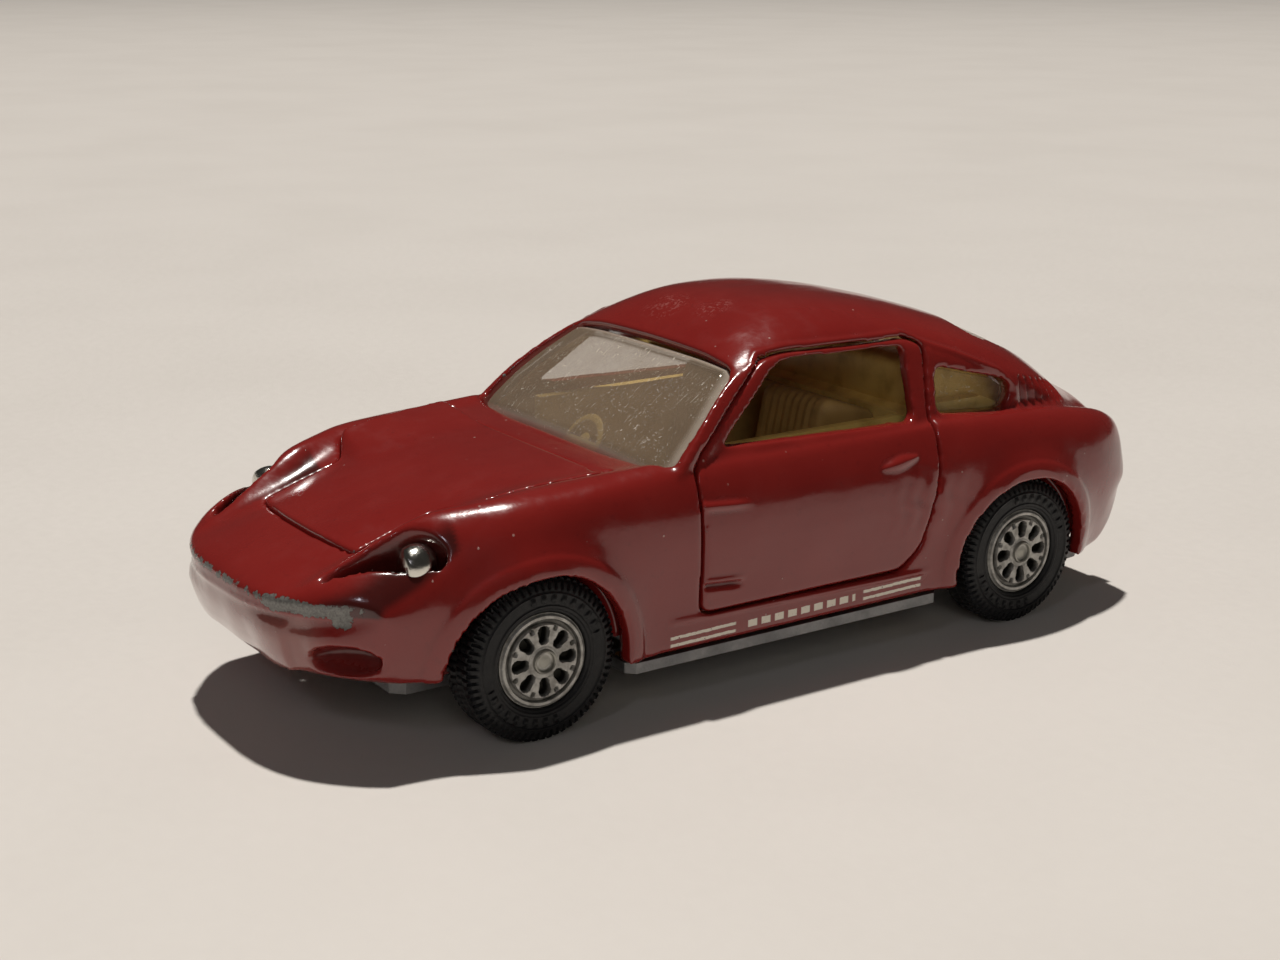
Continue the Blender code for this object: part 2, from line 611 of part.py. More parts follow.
def screen(name, outline, place, clear):
    """Curved pane that sits in its opening, a little below the body's surface."""
    shares = (-1.0, -0.75, -0.4, 0.0, 0.4, 0.75, 1.0)
    low, high = outline[0][1] + GAP + 0.15, outline[-1][1] - GAP - 0.15
    rings = []
    for k in range(8):
        v = low + (high - low) * k / 7
        half = half_width(outline, v) - GAP
        ring = []
        for depth, order in ((0.45, shares), (1.5, shares[::-1])):
            for share in order:
                u = share * half
                y = place(u, v, 0.0)[1]
                s = y - HOUSE_BOW(y) * (u / 14.6) ** 2
                outer = place(u, v, 0.0)
                lift = house_z(s, u) - outer[2]
                ring.append(place(u, v, lift * SCREEN_LEAN - depth))
        rings.append(ring)
    return add(name, loft_mesh(rings, 2 * len(shares) - 1), clear)


def quarter_light(name, side, clear):
    """Small fixed side window behind the door."""
    rings = []
    for k in range(6):
        y = 17.3 + (25.35 - 17.3) * k / 5
        crossings = []
        loop = QUARTER_WINDOW + QUARTER_WINDOW[:1]
        for (ya, za), (yb, zb) in zip(loop, loop[1:]):
            if min(ya, yb) <= y <= max(ya, yb) and ya != yb:
                crossings.append(za + (zb - za) * (y - ya) / (yb - ya))
        low, high = min(crossings) + GAP, max(crossings) - GAP
        heights = [low, (low + high) / 2, high]
        outer = [(side * (side_x(y, z) - 0.45), y, z) for z in heights]
        inner = [(x - side * 0.85, y, z) for x, y, z in reversed(outer)]
        rings.append(outer + inner)
    return add(name, loft_mesh(rings, 5), clear)


def interior_tub(plastic):
    """Cream moulding: floor, sides up past the window sills and a sloping rear shelf, open on top."""
    side = [(-13.0, 6.2), (17.6, 6.2), (17.6, 9.5), (18.8, 19.0), (24.0, 19.0), (31.3, 16.4), (31.5, 17.6),
            (24.0, 20.6), (17.2, 20.6), (16.0, 20.0), (-8.2, 20.0), (-8.2, 13.0), (-13.0, 13.0)]
    tub = add("interior_tub", prism_mesh(side, "X", -12.4, 12.4), plastic)
    boolean(tub, add("tub_hollow", box_mesh((-11.4, -12.0, 7.3), (11.4, 15.0, 23.0))))
    shelf = [(16.4, 19.8), (24.0, 19.8), (30.6, 17.0), (30.8, 18.9), (24.0, 23.2), (18.0, 24.4), (16.6, 24.0)]
    boolean(tub, add("shelf_block", prism_mesh(shelf, "X", -11.0, 11.0)), "UNION")
    return tub


def seat(name, side, plastic):
    """Seat with a deep back whose top slopes down to the rear."""
    outline = rounded([(-1.5, 7.6), (12.7, 7.6), (13.6, 19.2), (13.2, 20.3), (8.0, 22.2), (7.0, 21.5),
                       (5.0, 11.4), (-1.8, 11.0)], 0.6, 2)
    low, high = sorted((side * 1.9, side * 10.6))
    return add(name, prism_mesh(outline, "X", low, high), plastic)


def dashboard(plastic):
    outline = [(-12.6, 13.4), (-9.6, 14.2), (-8.6, 15.0), (-8.9, 17.3), (-10.6, 18.0), (-12.6, 17.2)]
    return add("dashboard", prism_mesh(rounded(outline, 0.5, 2), "X", -11.0, 11.0), plastic)


def steering_wheel(plastic):
    """Rim with three spokes on a raked column, on the car's right."""
    mesh = bmesh.new()
    major, minor, turns, section = 2.5, 0.28, 18, 6
    rings = []
    for k in range(turns):
        a = math.tau * k / turns
        rings.append([mesh.verts.new(((major + minor * math.cos(b)) * math.cos(a),
                                      (major + minor * math.cos(b)) * math.sin(a), minor * math.sin(b)))
                      for b in (math.tau * j / section for j in range(section))])
    for k in range(turns):
        for j in range(section):
            here, after = rings[k], rings[(k + 1) % turns]
            beside = (j + 1) % section
            mesh.faces.new((here[j], after[j], after[beside], here[beside]))
    place_on_column(mesh)
    wheel = add("steering_wheel", mesh, plastic)
    spokes = box_mesh((-2.5, -0.25, -0.18), (2.5, 0.25, 0.18))
    place_on_column(spokes)
    boolean(wheel, add("wheel_spokes", spokes), "UNION")
    hub = rod_mesh((0, 0, 0), "Z", 0.62, -1.3, 0.4, 10)
    place_on_column(hub)
    boolean(wheel, add("wheel_boss", hub), "UNION")
    return wheel


def place_on_column(mesh):
    """Moves a mesh made flat at the origin to the top of the steering column."""
    turn = Matrix(((1, 0, 0),
                   (0, math.cos(COLUMN_TILT), math.sin(COLUMN_TILT)),
                   (0, math.sin(COLUMN_TILT), math.cos(COLUMN_TILT))))
    for vertex in mesh.verts:
        vertex.co = turn @ vertex.co + Vector(COLUMN_TOP)


def engine(metal):
    """Block, head and sump under the bonnet."""
    block = add("engine_block", box_mesh((-4.2, -33.0, 5.0), (4.2, -22.5, 11.4)), metal)
    boolean(block, add("cylinder_head", box_mesh((-2.4, -32.2, 10.0), (2.4, -23.3, 12.9))), "UNION")
    boolean(block, add("sump", box_mesh((-5.6, -29.0, 5.2), (5.6, -21.0, 7.4))), "UNION")
    return block


def air_cleaner(metal):
    mesh = rod_mesh((6.6, 0, 11.6), "Y", 1.7, -29.5, -23.5, 14)
    return add("air_cleaner", mesh, metal)


def radiator(metal):
    return add("radiator", box_mesh((-6.5, -36.2, 6.9), (6.5, -34.6, 12.2)), metal)


def headlamp(name, side, metal):
    """Bright domed lamp standing in its scoop."""
    mesh = bmesh.new()
    bmesh.ops.create_uvsphere(mesh, u_segments=14, v_segments=8, radius=1.5)
    for vertex in mesh.verts:
        vertex.co += Vector((side * 13.4, -34.3, 15.3))
    return add(name, mesh, metal)


def tail_lamp(name, side, plastic):
    mesh = rod_mesh((side * 10.3, 0, 10.6), "Y", 0.95, 40.6, 42.1, 14)
    return add(name, mesh, plastic)


def number_plate(paint):
    return add("number_plate", box_mesh((-4.2, 41.6, 8.9), (4.2, 42.3, 10.9)), paint)


def wheel_hub(name, side, axle, metal):
    """Cast wheel centre, bored for its stub axle, with a recess for the axle's head."""
    profile = [(TYRE_INNER + 0.3, 1.1), (TYRE_INNER + 0.3, 3.2), (TYRE_OUTER - 0.2, 3.2 + 0.4),
               (TYRE_OUTER, RIM_RADIUS - 0.3), (TYRE_OUTER - 0.35, 3.1), (TYRE_OUTER - 0.6, 1.7),
               (TYRE_OUTER - 1.0, 1.7), (TYRE_OUTER - 1.0, 1.1)]
    profile = [(side * a, r) for a, r in profile]
    centre = (0, axle, TYRE_RADIUS)
    return add(name, lathe_mesh(profile, centre, "X", 20), metal, (side * 14.9, axle, TYRE_RADIUS))


def tyre(name, side, axle, rubber):
    profile = [(TYRE_INNER, RIM_RADIUS), (TYRE_INNER, 6.2), (TYRE_INNER + 0.5, TYRE_RADIUS),
               (TYRE_OUTER - 0.6, TYRE_RADIUS), (TYRE_OUTER - 0.1, 6.2), (TYRE_OUTER, 5.2),
               (TYRE_OUTER - 0.1, RIM_RADIUS)]
    profile = [(side * a, r) for a, r in profile]
    centre = (0, axle, TYRE_RADIUS)
    return add(name, lathe_mesh(profile, centre, "X", 28), rubber, (side * 14.9, axle, TYRE_RADIUS))


def stub_axle(name, side, axle, metal):
    """Pin that carries a wheel; it pulls out of its block with the wheel."""
    profile = [(6.6, 0), (6.6, 0.5), (7.2, STUB_RADIUS), (16.5, STUB_RADIUS)]
    profile += [(16.5, 1.4), (17.0, 1.4), (17.2, 1.1), (17.2, 0)]
    profile = [(side * a, r) for a, r in profile]
    mesh = lathe_mesh(profile, (0, axle, TYRE_RADIUS), "X", 12)
    return add(name, mesh, metal, (side * 14.9, axle, TYRE_RADIUS))


def build():
    for obj in list(bpy.data.objects):
        bpy.data.objects.remove(obj)
    paint = material("maroon_enamel", (0.165, 0.012, 0.012), 0.25)
    door_paint = material("maroon_enamel_door", (0.165, 0.012, 0.012), 0.25)
    bonnet_paint = material("maroon_enamel_bonnet", (0.165, 0.012, 0.012), 0.25)
    zinc = material("bare_zinc", (0.42, 0.43, 0.43), 0.5, 1.0)
    bright = material("bright_plate", (0.75, 0.75, 0.74), 0.25, 1.0)
    plated = material("plated_plastic", (0.62, 0.62, 0.60), 0.3, 1.0)
    gold = material("gold_wash", (0.75, 0.52, 0.18), 0.35, 1.0)
    cream = material("cream_plastic", (0.62, 0.42, 0.12), 0.5)
    black_plastic = material("black_plastic", (0.03, 0.03, 0.03), 0.5)
    rubber = material("black_rubber", (0.012, 0.012, 0.013), 0.6)
    clear = material("clear_plastic", (0.85, 0.85, 0.82), 0.15, 0.0, 0.95)
    red_plastic = material("red_plastic", (0.45, 0.02, 0.02), 0.3)
    hub_metal = material("cast_silver", (0.5, 0.5, 0.48), 0.45, 1.0)

    body_shell(paint)
    for name, side in SIDES:
        door(name, side, door_paint)
        seat(f"seat_{name}", side, cream)
        headlamp(f"headlamp_{name}", side, bright)
        tail_lamp(f"tail_lamp_{name}", side, red_plastic)
        quarter_light(f"quarter_light_{name}", side, clear)
    bonnet(bonnet_paint)
    base_plate(zinc)
    rivet("rivet_front", -31.0, zinc)
    rivet("rivet_rear", 32.5, zinc)
    screen("windscreen", WINDSCREEN, WINDSCREEN_PLANE, clear)
    screen("rear_window", REAR_SCREEN, REAR_PLANE, clear)
    interior_tub(cream)
    dashboard(black_plastic)
    steering_wheel(cream)
    engine(plated)
    air_cleaner(black_plastic)
    radiator(black_plastic)
    number_plate(black_plastic)
    for axle_name, axle in AXLES:
        for name, side in SIDES:
            stub_axle(f"stub_{axle_name}_{name}", side, axle, gold)
            wheel_hub(f"hub_{axle_name}_{name}", side, axle, hub_metal)
            tyre(f"tyre_{axle_name}_{name}", side, axle, rubber)
            jack(f"jack_{axle_name}_{name}", side, axle, gold)


build()
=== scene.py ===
"""Looks of the die-cast coupe: thick worn enamel, hazed clear plastic, treaded tyres, cast hubs and trim.

Forward is -Y, the car's left is +X, up is +Z.  The shapes are made in millimetres, with stations counted from
just ahead of the car's middle, and move by CENTRE_Y and into metres as they are finished.
"""
import math
import bpy
import bmesh
import numpy as np
from mathutils import Matrix, Vector


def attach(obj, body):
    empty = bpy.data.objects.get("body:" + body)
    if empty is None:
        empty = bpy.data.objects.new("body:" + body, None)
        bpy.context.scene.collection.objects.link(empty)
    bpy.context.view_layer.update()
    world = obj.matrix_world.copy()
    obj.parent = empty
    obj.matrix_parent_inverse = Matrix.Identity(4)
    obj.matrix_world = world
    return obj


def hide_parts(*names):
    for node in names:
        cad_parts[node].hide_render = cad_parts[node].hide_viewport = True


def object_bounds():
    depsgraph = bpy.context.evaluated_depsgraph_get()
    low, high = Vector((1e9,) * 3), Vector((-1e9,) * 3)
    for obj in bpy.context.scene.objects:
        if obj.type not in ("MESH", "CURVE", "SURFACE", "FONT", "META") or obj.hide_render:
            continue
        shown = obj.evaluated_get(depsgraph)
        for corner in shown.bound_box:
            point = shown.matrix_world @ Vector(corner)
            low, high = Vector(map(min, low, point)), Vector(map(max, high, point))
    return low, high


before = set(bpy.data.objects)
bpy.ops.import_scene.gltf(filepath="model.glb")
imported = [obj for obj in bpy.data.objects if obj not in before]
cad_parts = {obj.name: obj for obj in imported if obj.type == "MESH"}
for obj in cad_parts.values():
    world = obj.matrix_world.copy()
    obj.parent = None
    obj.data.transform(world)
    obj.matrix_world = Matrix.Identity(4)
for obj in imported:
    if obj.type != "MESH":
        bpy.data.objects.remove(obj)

MM = 0.001
CAD_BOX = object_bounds()

# ---- sizes ----
CENTRE_Y = 1.1  # from stations to the frame's y
AXLE_FRONT = -25.0
AXLE_REAR = 25.5
TYRE_RADIUS = 6.75
TYRE_INNER = 12.6
TYRE_OUTER = 17.2
RIM_RADIUS = 3.9
ARCH_RADIUS = 7.8
ARCH_HEIGHT = 6.1
ARCH_AHEAD = 0.2  # the arches stand this far ahead of their wheels
SHELL = 1.3
ROOF_SHELL = 1.2
DOOR_SKIN = 1.2
GAP = 0.3  # round the doors and the bonnet
VOXEL = 0.24
BODY_FACES = 170000
DOOR_FACES = 60000
BONNET_FACES = 40000
TREAD_BLOCKS = 64
TREAD_STEPS = 8
HUB_TURNS = 160
HUB_STEP = 0.06
WELL_WALL = (10.9, 11.7)  # inner and outer face of the wall behind each wheel
HEADLAMP_PLACE = (13.45, -33.95, 15.2)
TAIL_LAMP_X = 10.3
TAIL_LAMP_Z = 10.6
SCREEN_LEAN = 0.85  # how much of the cabin's curve the panes follow
PANE_THICKNESS = 0.9
PANE_SUNK = 0.3
PANE_SHOULDER = 0.75
SIDES = (("left", 1), ("right", -1))
AXLES = (("front", AXLE_FRONT), ("rear", AXLE_REAR))
PLATE_SEAT = ((-4.6, 41.2, 8.5), (4.6, 46.0, 11.3))  # recess for the number plate


# ---- curves that describe the body ----
def curve(*knots):
    """Smooth function through (station, value) knots; its slopes are limited so it never overshoots."""
    at = [k[0] for k in knots]
    value = [k[1] for k in knots]
    gap = [b - a for a, b in zip(at, at[1:])]
    rise = [(b - a) / g for a, b, g in zip(value, value[1:], gap)]
    slope = [rise[0]]
    for i in range(1, len(knots) - 1):
        if rise[i - 1] * rise[i] <= 0:
            slope.append(0.0)
            continue
        before = 2 * gap[i] + gap[i - 1]
        after = gap[i] + 2 * gap[i - 1]
        slope.append((before + after) / (before / rise[i - 1] + after / rise[i]))
    slope.append(rise[-1])

    def evaluate(s):
        i = 0
        while i < len(gap) - 1 and s > at[i + 1]:
            i += 1
        t = min(max((s - at[i]) / gap[i], 0.0), 1.0)
        start = (2 * t ** 3 - 3 * t ** 2 + 1) * value[i] + (t ** 3 - 2 * t ** 2 + t) * slope[i] * gap[i]
        end = (3 * t ** 2 - 2 * t ** 3) * value[i + 1] + (t ** 3 - t ** 2) * slope[i + 1] * gap[i]
        return start + end

    return evaluate


def smooth_chain(points, per_span):
    """Catmull-Rom chain through 2-D points."""
    first = [2 * a - b for a, b in zip(points[0], points[1])]
    last = [2 * a - b for a, b in zip(points[-1], points[-2])]
    p = [first, *points, last]
    chain = []
    for i in range(1, len(p) - 2):
        for k in range(per_span):
            t = k / per_span
            chain.append([0.5 * (2 * b + (c - a) * t + (2 * a - 5 * b + 4 * c - d) * t * t
                                 + (3 * b - a - 3 * c + d) * t ** 3)
                          for a, b, c, d in zip(p[i - 1], p[i], p[i + 1], p[i + 2])])
    chain.append(list(points[-1]))
    return chain


# Lower body: each line runs from nose to tail; _x is its half width and _z its height.
DECK_Z = curve((-44.5, 12.75), (-44.1, 13.2), (-42, 14.1), (-37.6, 15.5), (-30, 17.7), (-22, 19.3),
               (-14, 19.7), (0, 19.0), (20, 18.0), (34, 17.4), (39.5, 17.0), (41.4, 16.0), (42.2, 14.0))
VALLEY_X = curve((-44.5, 8.5), (-36, 9.2), (-30, 10.0), (-20, 11.8), (-14, 12.6), (30, 12.4), (42.2, 10.6))
VALLEY_Z = curve((-44.5, 12.8), (-44.1, 13.2), (-42, 14.0), (-37.6, 15.5), (-30, 17.8), (-22, 19.4),
                 (-14, 19.8), (0, 19.3), (20, 18.3), (34, 17.6), (39.5, 17.0), (41.4, 16.0), (42.2, 14.0))
CREST_X = curve((-44.5, 11.2), (-38, 11.6), (-34.5, 12.0), (-28, 13.8), (-20, 14.4), (-10, 15.0),
                (14, 15.1), (30, 14.8), (38, 14.0), (42.2, 13.0))
CREST_Z = curve((-44.5, 12.9), (-44, 13.6), (-43, 14.4), (-41, 15.6), (-38, 17.1), (-34.6, 18.6),
                (-30, 19.2), (-25, 19.6), (-19, 19.9), (-12, 20.2), (14, 20.0), (25, 19.6), (33, 18.9),
                (38, 17.9), (41.2, 16.4), (42.2, 14.0))
SHOULDER_X = curve((-44.5, 14.2), (-40, 14.8), (-34, 15.8), (-28, 16.3), (-18, 16.6), (14, 16.4),
                   (25, 16.8), (34, 16.4), (40, 15.2), (42.2, 14.1))
SHOULDER_Z = curve((-44.5, 12.95), (-44, 13.6), (-43, 14.2), (-41, 14.9), (-38, 15.8), (-34, 17.2),
                   (-28, 18.1), (-18, 18.8), (14, 18.7), (25, 18.1), (33, 17.2), (38, 16.3), (41.2, 14.8),
                   (42.2, 13.0))
SIDE_X = curve((-44.5, 15.6), (-40, 16.2), (-34, 17.2), (-28, 17.6), (-18, 17.5), (14, 17.5),
               (25, 17.7), (34, 17.2), (40, 15.8), (42.2, 14.6))
SIDE_Z = curve((-44.5, 12.7), (-43.6, 12.2), (-41, 12.4), (-34, 14.2), (-18, 14.8), (14, 14.8),
               (25, 14.4), (36, 13.0), (41.2, 11.5), (42.2, 11.2))
LOW_X = curve((-44.5, 15.4), (-42, 15.4), (-38, 16.0), (-33, 16.9), (-18, 17.1), (14, 17.1),
              (25, 17.2), (34, 16.8), (39, 15.4), (42.2, 14.0))
LOW_Z = curve((-44.5, 11.8), (-43.8, 9.9), (-42.4, 8.8), (-38, 8.8), (-33, 8.8), (16, 8.6),
              (34, 8.6), (39, 8.2), (41.3, 9.3), (42.2, 10.3))
FOOT_X = curve((-44.5, 15.0), (-42, 14.6), (-38, 15.2), (-33, 16.6), (-18, 17.0), (14, 17.0),
               (25, 17.0), (33, 16.5), (38, 14.8), (42.2, 13.8))
FOOT_Z = curve((-44.5, 11.2), (-43.9, 8.8), (-42.8, 6.8), (-39, 6.2), (-33, 6.2), (-25, 5.2), (-17, 4.9),
               (16, 4.9), (33, 5.0), (37, 4.8), (39.3, 5.0), (40.9, 6.6), (41.8, 8.4), (42.2, 9.6))
LOWER_BOW = curve((-44.5, 0.94), (-40, 0.9), (-33, 0.5), (-25, 0.0), (25, 0.0), (34, -0.08), (42.2, -0.2))

# Cabin: the roof's height, the drop from roof to eave, and the half width of the walls.
ROOF_Z = curve((-15.2, 18.9), (-14.2, 19.7), (-3.7, 27.3), (-1.2, 29.0), (1.2, 30.0), (4.5, 30.5),
               (8, 30.5), (13, 30.0), (18, 29.0), (25, 26.9), (31, 24.1), (34, 22.0), (37, 20.0),
               (40.5, 18.3), (41.8, 17.2))
EAVE_DROP = curve((-15.2, 0.7), (-4, 1.4), (-1, 2.7), (3, 4.1), (14, 3.9), (25, 4.2), (34, 4.2),
                  (41.8, 2.6))
EAVE_X = curve((-15.2, 16.4), (-13, 16.3), (-9.7, 15.6), (-6.1, 14.1), (-4, 13.3), (0, 12.9), (14, 12.9),
               (20, 13.7), (27, 14.2), (34, 13.9), (38, 13.2), (41.8, 11.6))
BASE_X = curve((-15.2, 16.6), (-8, 16.4), (0, 16.1), (14, 15.9), (27, 15.2), (34, 14.2), (38, 13.3),
               (41.8, 11.7))
HOUSE_BOW = curve((-15.2, 1.5), (-4, -0.3), (0, 0.0), (30, 0.0), (41.8, -1.2))
ROOF_ARC = ((0, 0), (0.35, 0.035), (0.62, 0.16), (0.84, 0.45), (0.95, 0.75), (1, 1))


def flare(y, z, axle):
    """How far the wheel arch's lip swells out of the body's side."""
    reach = math.hypot(y - axle, z - TYRE_RADIUS)
    t = min(max((10.2 - reach) / 3.2, 0.0), 1.0)
    return 0.75 * t * t * (3 - 2 * t)


def lower_profile(s, per_span, depth=0.0):
    """Half section of the lower body at station s, from the centre of the deck out and down to the sill."""
    deck, valley = DECK_Z(s) - depth, VALLEY_Z(s) - depth
    marks = ((0, deck), (0.55 * VALLEY_X(s), 0.5 * (deck + valley)), (VALLEY_X(s), valley),
             (CREST_X(s) - 0.4 * depth, CREST_Z(s) - depth),
             (SHOULDER_X(s) - 0.75 * depth, SHOULDER_Z(s) - 0.75 * depth),
             (SIDE_X(s) - depth, SIDE_Z(s)), (LOW_X(s) - depth, LOW_Z(s)), (FOOT_X(s) - depth, FOOT_Z(s)))
    return smooth_chain(marks, per_span)


def house_profile(s, per_span, depth=0.0):
    """Half section of the cabin at station s, from the centre of the roof down to the waist."""
    top, drop = ROOF_Z(s) - depth, EAVE_DROP(s)
    eave_x, eave_z = EAVE_X(s) - depth, top - drop
    base_z = min(17.0, ROOF_Z(s) - drop - 1.5) - depth
    base_x = eave_x + (BASE_X(s) - EAVE_X(s)) * min(max((eave_z - base_z) / 8.0, 0.0), 1.2)
    marks = [(a * eave_x, top - b * drop) for a, b in ROOF_ARC]
    marks += [((eave_x + base_x) / 2, (eave_z + base_z) / 2), (base_x, base_z)]
    return smooth_chain(marks, per_span)


def lower_y(s, x):
    """The bowed nose and tail: how far along the car station s lies, x from the middle."""
    return s + LOWER_BOW(s) * 0.00109 * abs(x) ** 3.2


def house_y(s, x):
    """The same for the cabin."""
    return s + HOUSE_BOW(s) * (abs(x) / 14.6) ** 2


def widest_at(outline, level):
    """Largest first coordinate of a half outline at a level of its second one."""
    widest = 0.0
    for (xa, za), (xb, zb) in zip(outline, outline[1:]):
        if min(za, zb) <= level <= max(za, zb) and za != zb:
            widest = max(widest, xa + (xb - xa) * (level - za) / (zb - za))
    return widest


def side_x(y, z):
    """Half width of the outer surface at a place on the car's side."""
    return max(widest_at(lower_profile(y, 4), z), widest_at(house_profile(y, 4), z))


def surface_z(profile, s, x):
    """Height of a profile's outer surface, x across from the middle of station s."""
    chain = profile(s, 4)
    for (xa, za), (xb, zb) in zip(chain, chain[1:]):
        if xa <= abs(x) <= xb:
            return za + (zb - za) * (abs(x) - xa) / (xb - xa)
    return chain[0][1]


# ---- making meshes ----
def band(mesh, low, high):
    """Faces between two closed rings of the same number of points."""
    for i in range(len(low)):
        j = (i + 1) % len(low)
        mesh.faces.new((low[i], low[j], high[j], high[i]))


def loft_mesh(rings, fold, capped=True):
    """Skin over closed rings that all have the same number of points.

    Each end is closed by a ladder of faces whose rungs join point i to point fold - i of the ring.
    """
    mesh = bmesh.new()
    rows = [[mesh.verts.new(point) for point in ring] for ring in rings]
    count = len(rings[0])
    for low, high in zip(rows, rows[1:]):
        band(mesh, low, high)
    if capped:
        start = fold // 2
        for row in (rows[0], rows[-1]):
            for k in range(count // 2):
                corners = []
                for i in (start - k, start - k - 1, fold - start + k + 1, fold - start + k):
                    if row[i % count] not in corners:
                        corners.append(row[i % count])
                if len(corners) > 2:
                    mesh.faces.new(corners)
    bmesh.ops.remove_doubles(mesh, verts=mesh.verts, dist=0.002)
    return mesh


def prism_mesh(outline, direction, low, high, place=None):
    """Flat outline swept along an axis.  It is (y, z) for X, (x, z) for Y and (x, y) for Z."""
    order = {"X": lambda u, v, w: (w, u, v), "Y": lambda u, v, w: (u, w, v), "Z": lambda u, v, w: (u, v, w)}
    make = place or order[direction]
    mesh = bmesh.new()
    ends = [[mesh.verts.new(make(u, v, w)) for u, v in outline] for w in (low, high)]
    band(mesh, *ends)
    mesh.faces.new(ends[0])
    mesh.faces.new(ends[1])
    return mesh


def box_mesh(low, high):
    """Box between two corners."""
    x0, y0, z0 = low
    x1, y1, z1 = high
    return prism_mesh([(x0, y0), (x1, y0), (x1, y1), (x0, y1)], "Z", z0, z1)


def lathe_mesh(profile, centre, axis, count=24):
    """Turns a closed (distance along the axis, radius) profile around an axis through a centre."""
    rings = []
    for along, radius in profile:
        ring = []
        for k in range(count):
            a = math.tau * k / count
            u, v = radius * math.cos(a), radius * math.sin(a)
            offset = {"X": (along, u, v), "Y": (u, along, v), "Z": (u, v, along)}[axis]
            ring.append([c + o for c, o in zip(centre, offset)])
        rings.append(ring)
    mesh = bmesh.new()
    rows = [[mesh.verts.new(point) for point in ring] for ring in rings]
    solid = profile[0][1] == 0
    following = rows[1:] if solid else rows[1:] + rows[:1]
    for low, high in zip(rows, following):
        band(mesh, low, high)
    bmesh.ops.remove_doubles(mesh, verts=mesh.verts, dist=0.002)
    return mesh


def rod_mesh(centre, axis, radius, low, high, count=16):
    """Solid round bar."""
    return lathe_mesh([(low, 0.0), (low, radius), (high, radius), (high, 0.0)], centre, axis, count)


def rounded(points, radius, steps=3):
    """Rounds the corners of a flat outline."""
    out = []
    for i, here in enumerate(points):
        here = Vector(here)
        before = Vector(points[i - 1]) - here
        after = Vector(points[(i + 1) % len(points)]) - here
        trim = min(radius, before.length * 0.45, after.length * 0.45)
        start = here + before.normalized() * trim
        end = here + after.normalized() * trim
        for k in range(steps + 1):
            t = k / steps
            p = start * (1 - t) ** 2 + here * 2 * t * (1 - t) + end * t * t
            out.append((p[0], p[1]))
    return out


def span(side, inner, outer):
    """Low and high x of a stretch that is given outwards from the middle."""
    return sorted((side * inner, side * outer))


def mirrored(outline, side):
    """The outline itself on the left, and its mirror image, still turning the same way, on the right."""
    return [(side * x, y) for x, y in outline][::side]


def full_ring(chain, floor_z, place, pinched=False):
    """Closed ring from a half section: over the top, and back along a floor, or back the same way."""
    foot = chain[-1][0]
    steps = len(chain) - 2
    floor = [[foot * (steps - i) / (steps + 1), floor_z] for i in range(steps)]
    middle = floor_z
    if pinched:
        floor = [list(p) for p in reversed(chain[1:-1])]
        middle = chain[0][1]
    half = [list(p) for p in chain] + floor
    ring = half + [[0.0, middle]] + [[-x, z] for x, z in reversed(half[1:])]
    return [place(x, z) for x, z in ring]


# ---- outlines of the openings ----
DOOR_EDGE = ((-9.95, 7.7), (-10.1, 19.3), (-8.7, 21.0), (-1.1, 26.8), (1.6, 27.1), (14.9, 26.8), (16.4, 26.2),
             (15.5, 20.2), (15.0, 15.5), (13.4, 9.6), (11.2, 7.6))
DOOR_WINDOW = ((-6.9, 20.75), (0.2, 26.4), (2.2, 26.72), (14.35, 26.4), (13.9, 20.1))
QUARTER_WINDOW = ((17.4, 24.3), (25.3, 22.3), (26.0, 21.3), (25.1, 19.6), (16.8, 20.3))
WINDSCREEN = ((0.0, 0.2), (8.0, 0.3), (13.4, 0.8), (15.0, 1.3), (15.2, 2.4), (14.7, 5.4), (13.8, 8.3),
              (12.5, 11.6), (11.6, 12.4), (7.6, 12.7), (0.0, 12.8))
REAR_SCREEN = ((0.0, 0.0), (8.8, 0.0), (10.2, 1.2), (9.4, 9.6), (8.2, 10.6), (0.0, 10.9))


def grown(outline, distance):
    """Moves every edge of a flat outline outwards by a distance."""
    area = sum(a[0] * b[1] - b[0] * a[1] for a, b in zip(outline, outline[1:] + outline[:1]))
    turn = 1 if area > 0 else -1
    out = []
    for i, here in enumerate(outline):
        here = Vector(here)
        into = (here - Vector(outline[i - 1])).normalized()
        away = (Vector(outline[(i + 1) % len(outline)]) - here).normalized()
        n1 = Vector((into[1], -into[0])) * turn
        n2 = Vector((away[1], -away[0])) * turn
        push = (n1 + n2) / max(1.0 + n1.dot(n2), 0.3)
        out.append(tuple(here + push * distance))
    return out


def bonnet_half_width(s):
    """Narrow between the lamps, then a step out to the wings."""
    t = min(max((s + 30.2) / 2.2, 0.0), 1.0)
    narrow = 8.5 + 0.03 * (s + 37)
    wide = 12.0 + 0.1 * (s + 28)
    return narrow + (wide - narrow) * t * t * (3 - 2 * t)


BONNET_STATIONS = (-37.3, -35, -32.5, -30.4, -29.6, -28.8, -28, -25, -22, -19.5, -17.4)


def bonnet_mesh(rise, bottom, margin=0.0):
    """Slab that follows the deck, rise(station, share of the half width) above it and bottom below it."""
    stations = refined(BONNET_STATIONS, 0.8)
    stations[0] -= margin
    stations[-1] += margin
    rings = []
    for s in stations:
        half = bonnet_half_width(s) + margin
        upper, lower = [], []
        for share in np.linspace(-1.0, 1.0, 33):
            x = share * half
            y, z = lower_y(s, x), surface_z(lower_profile, s, x)
            upper.append((x, y, z + rise(s, share)))
            lower.append((x, y, z + bottom))
        rings.append(upper + lower[::-1])
    return loft_mesh(rings, len(rings[0]) - 1)


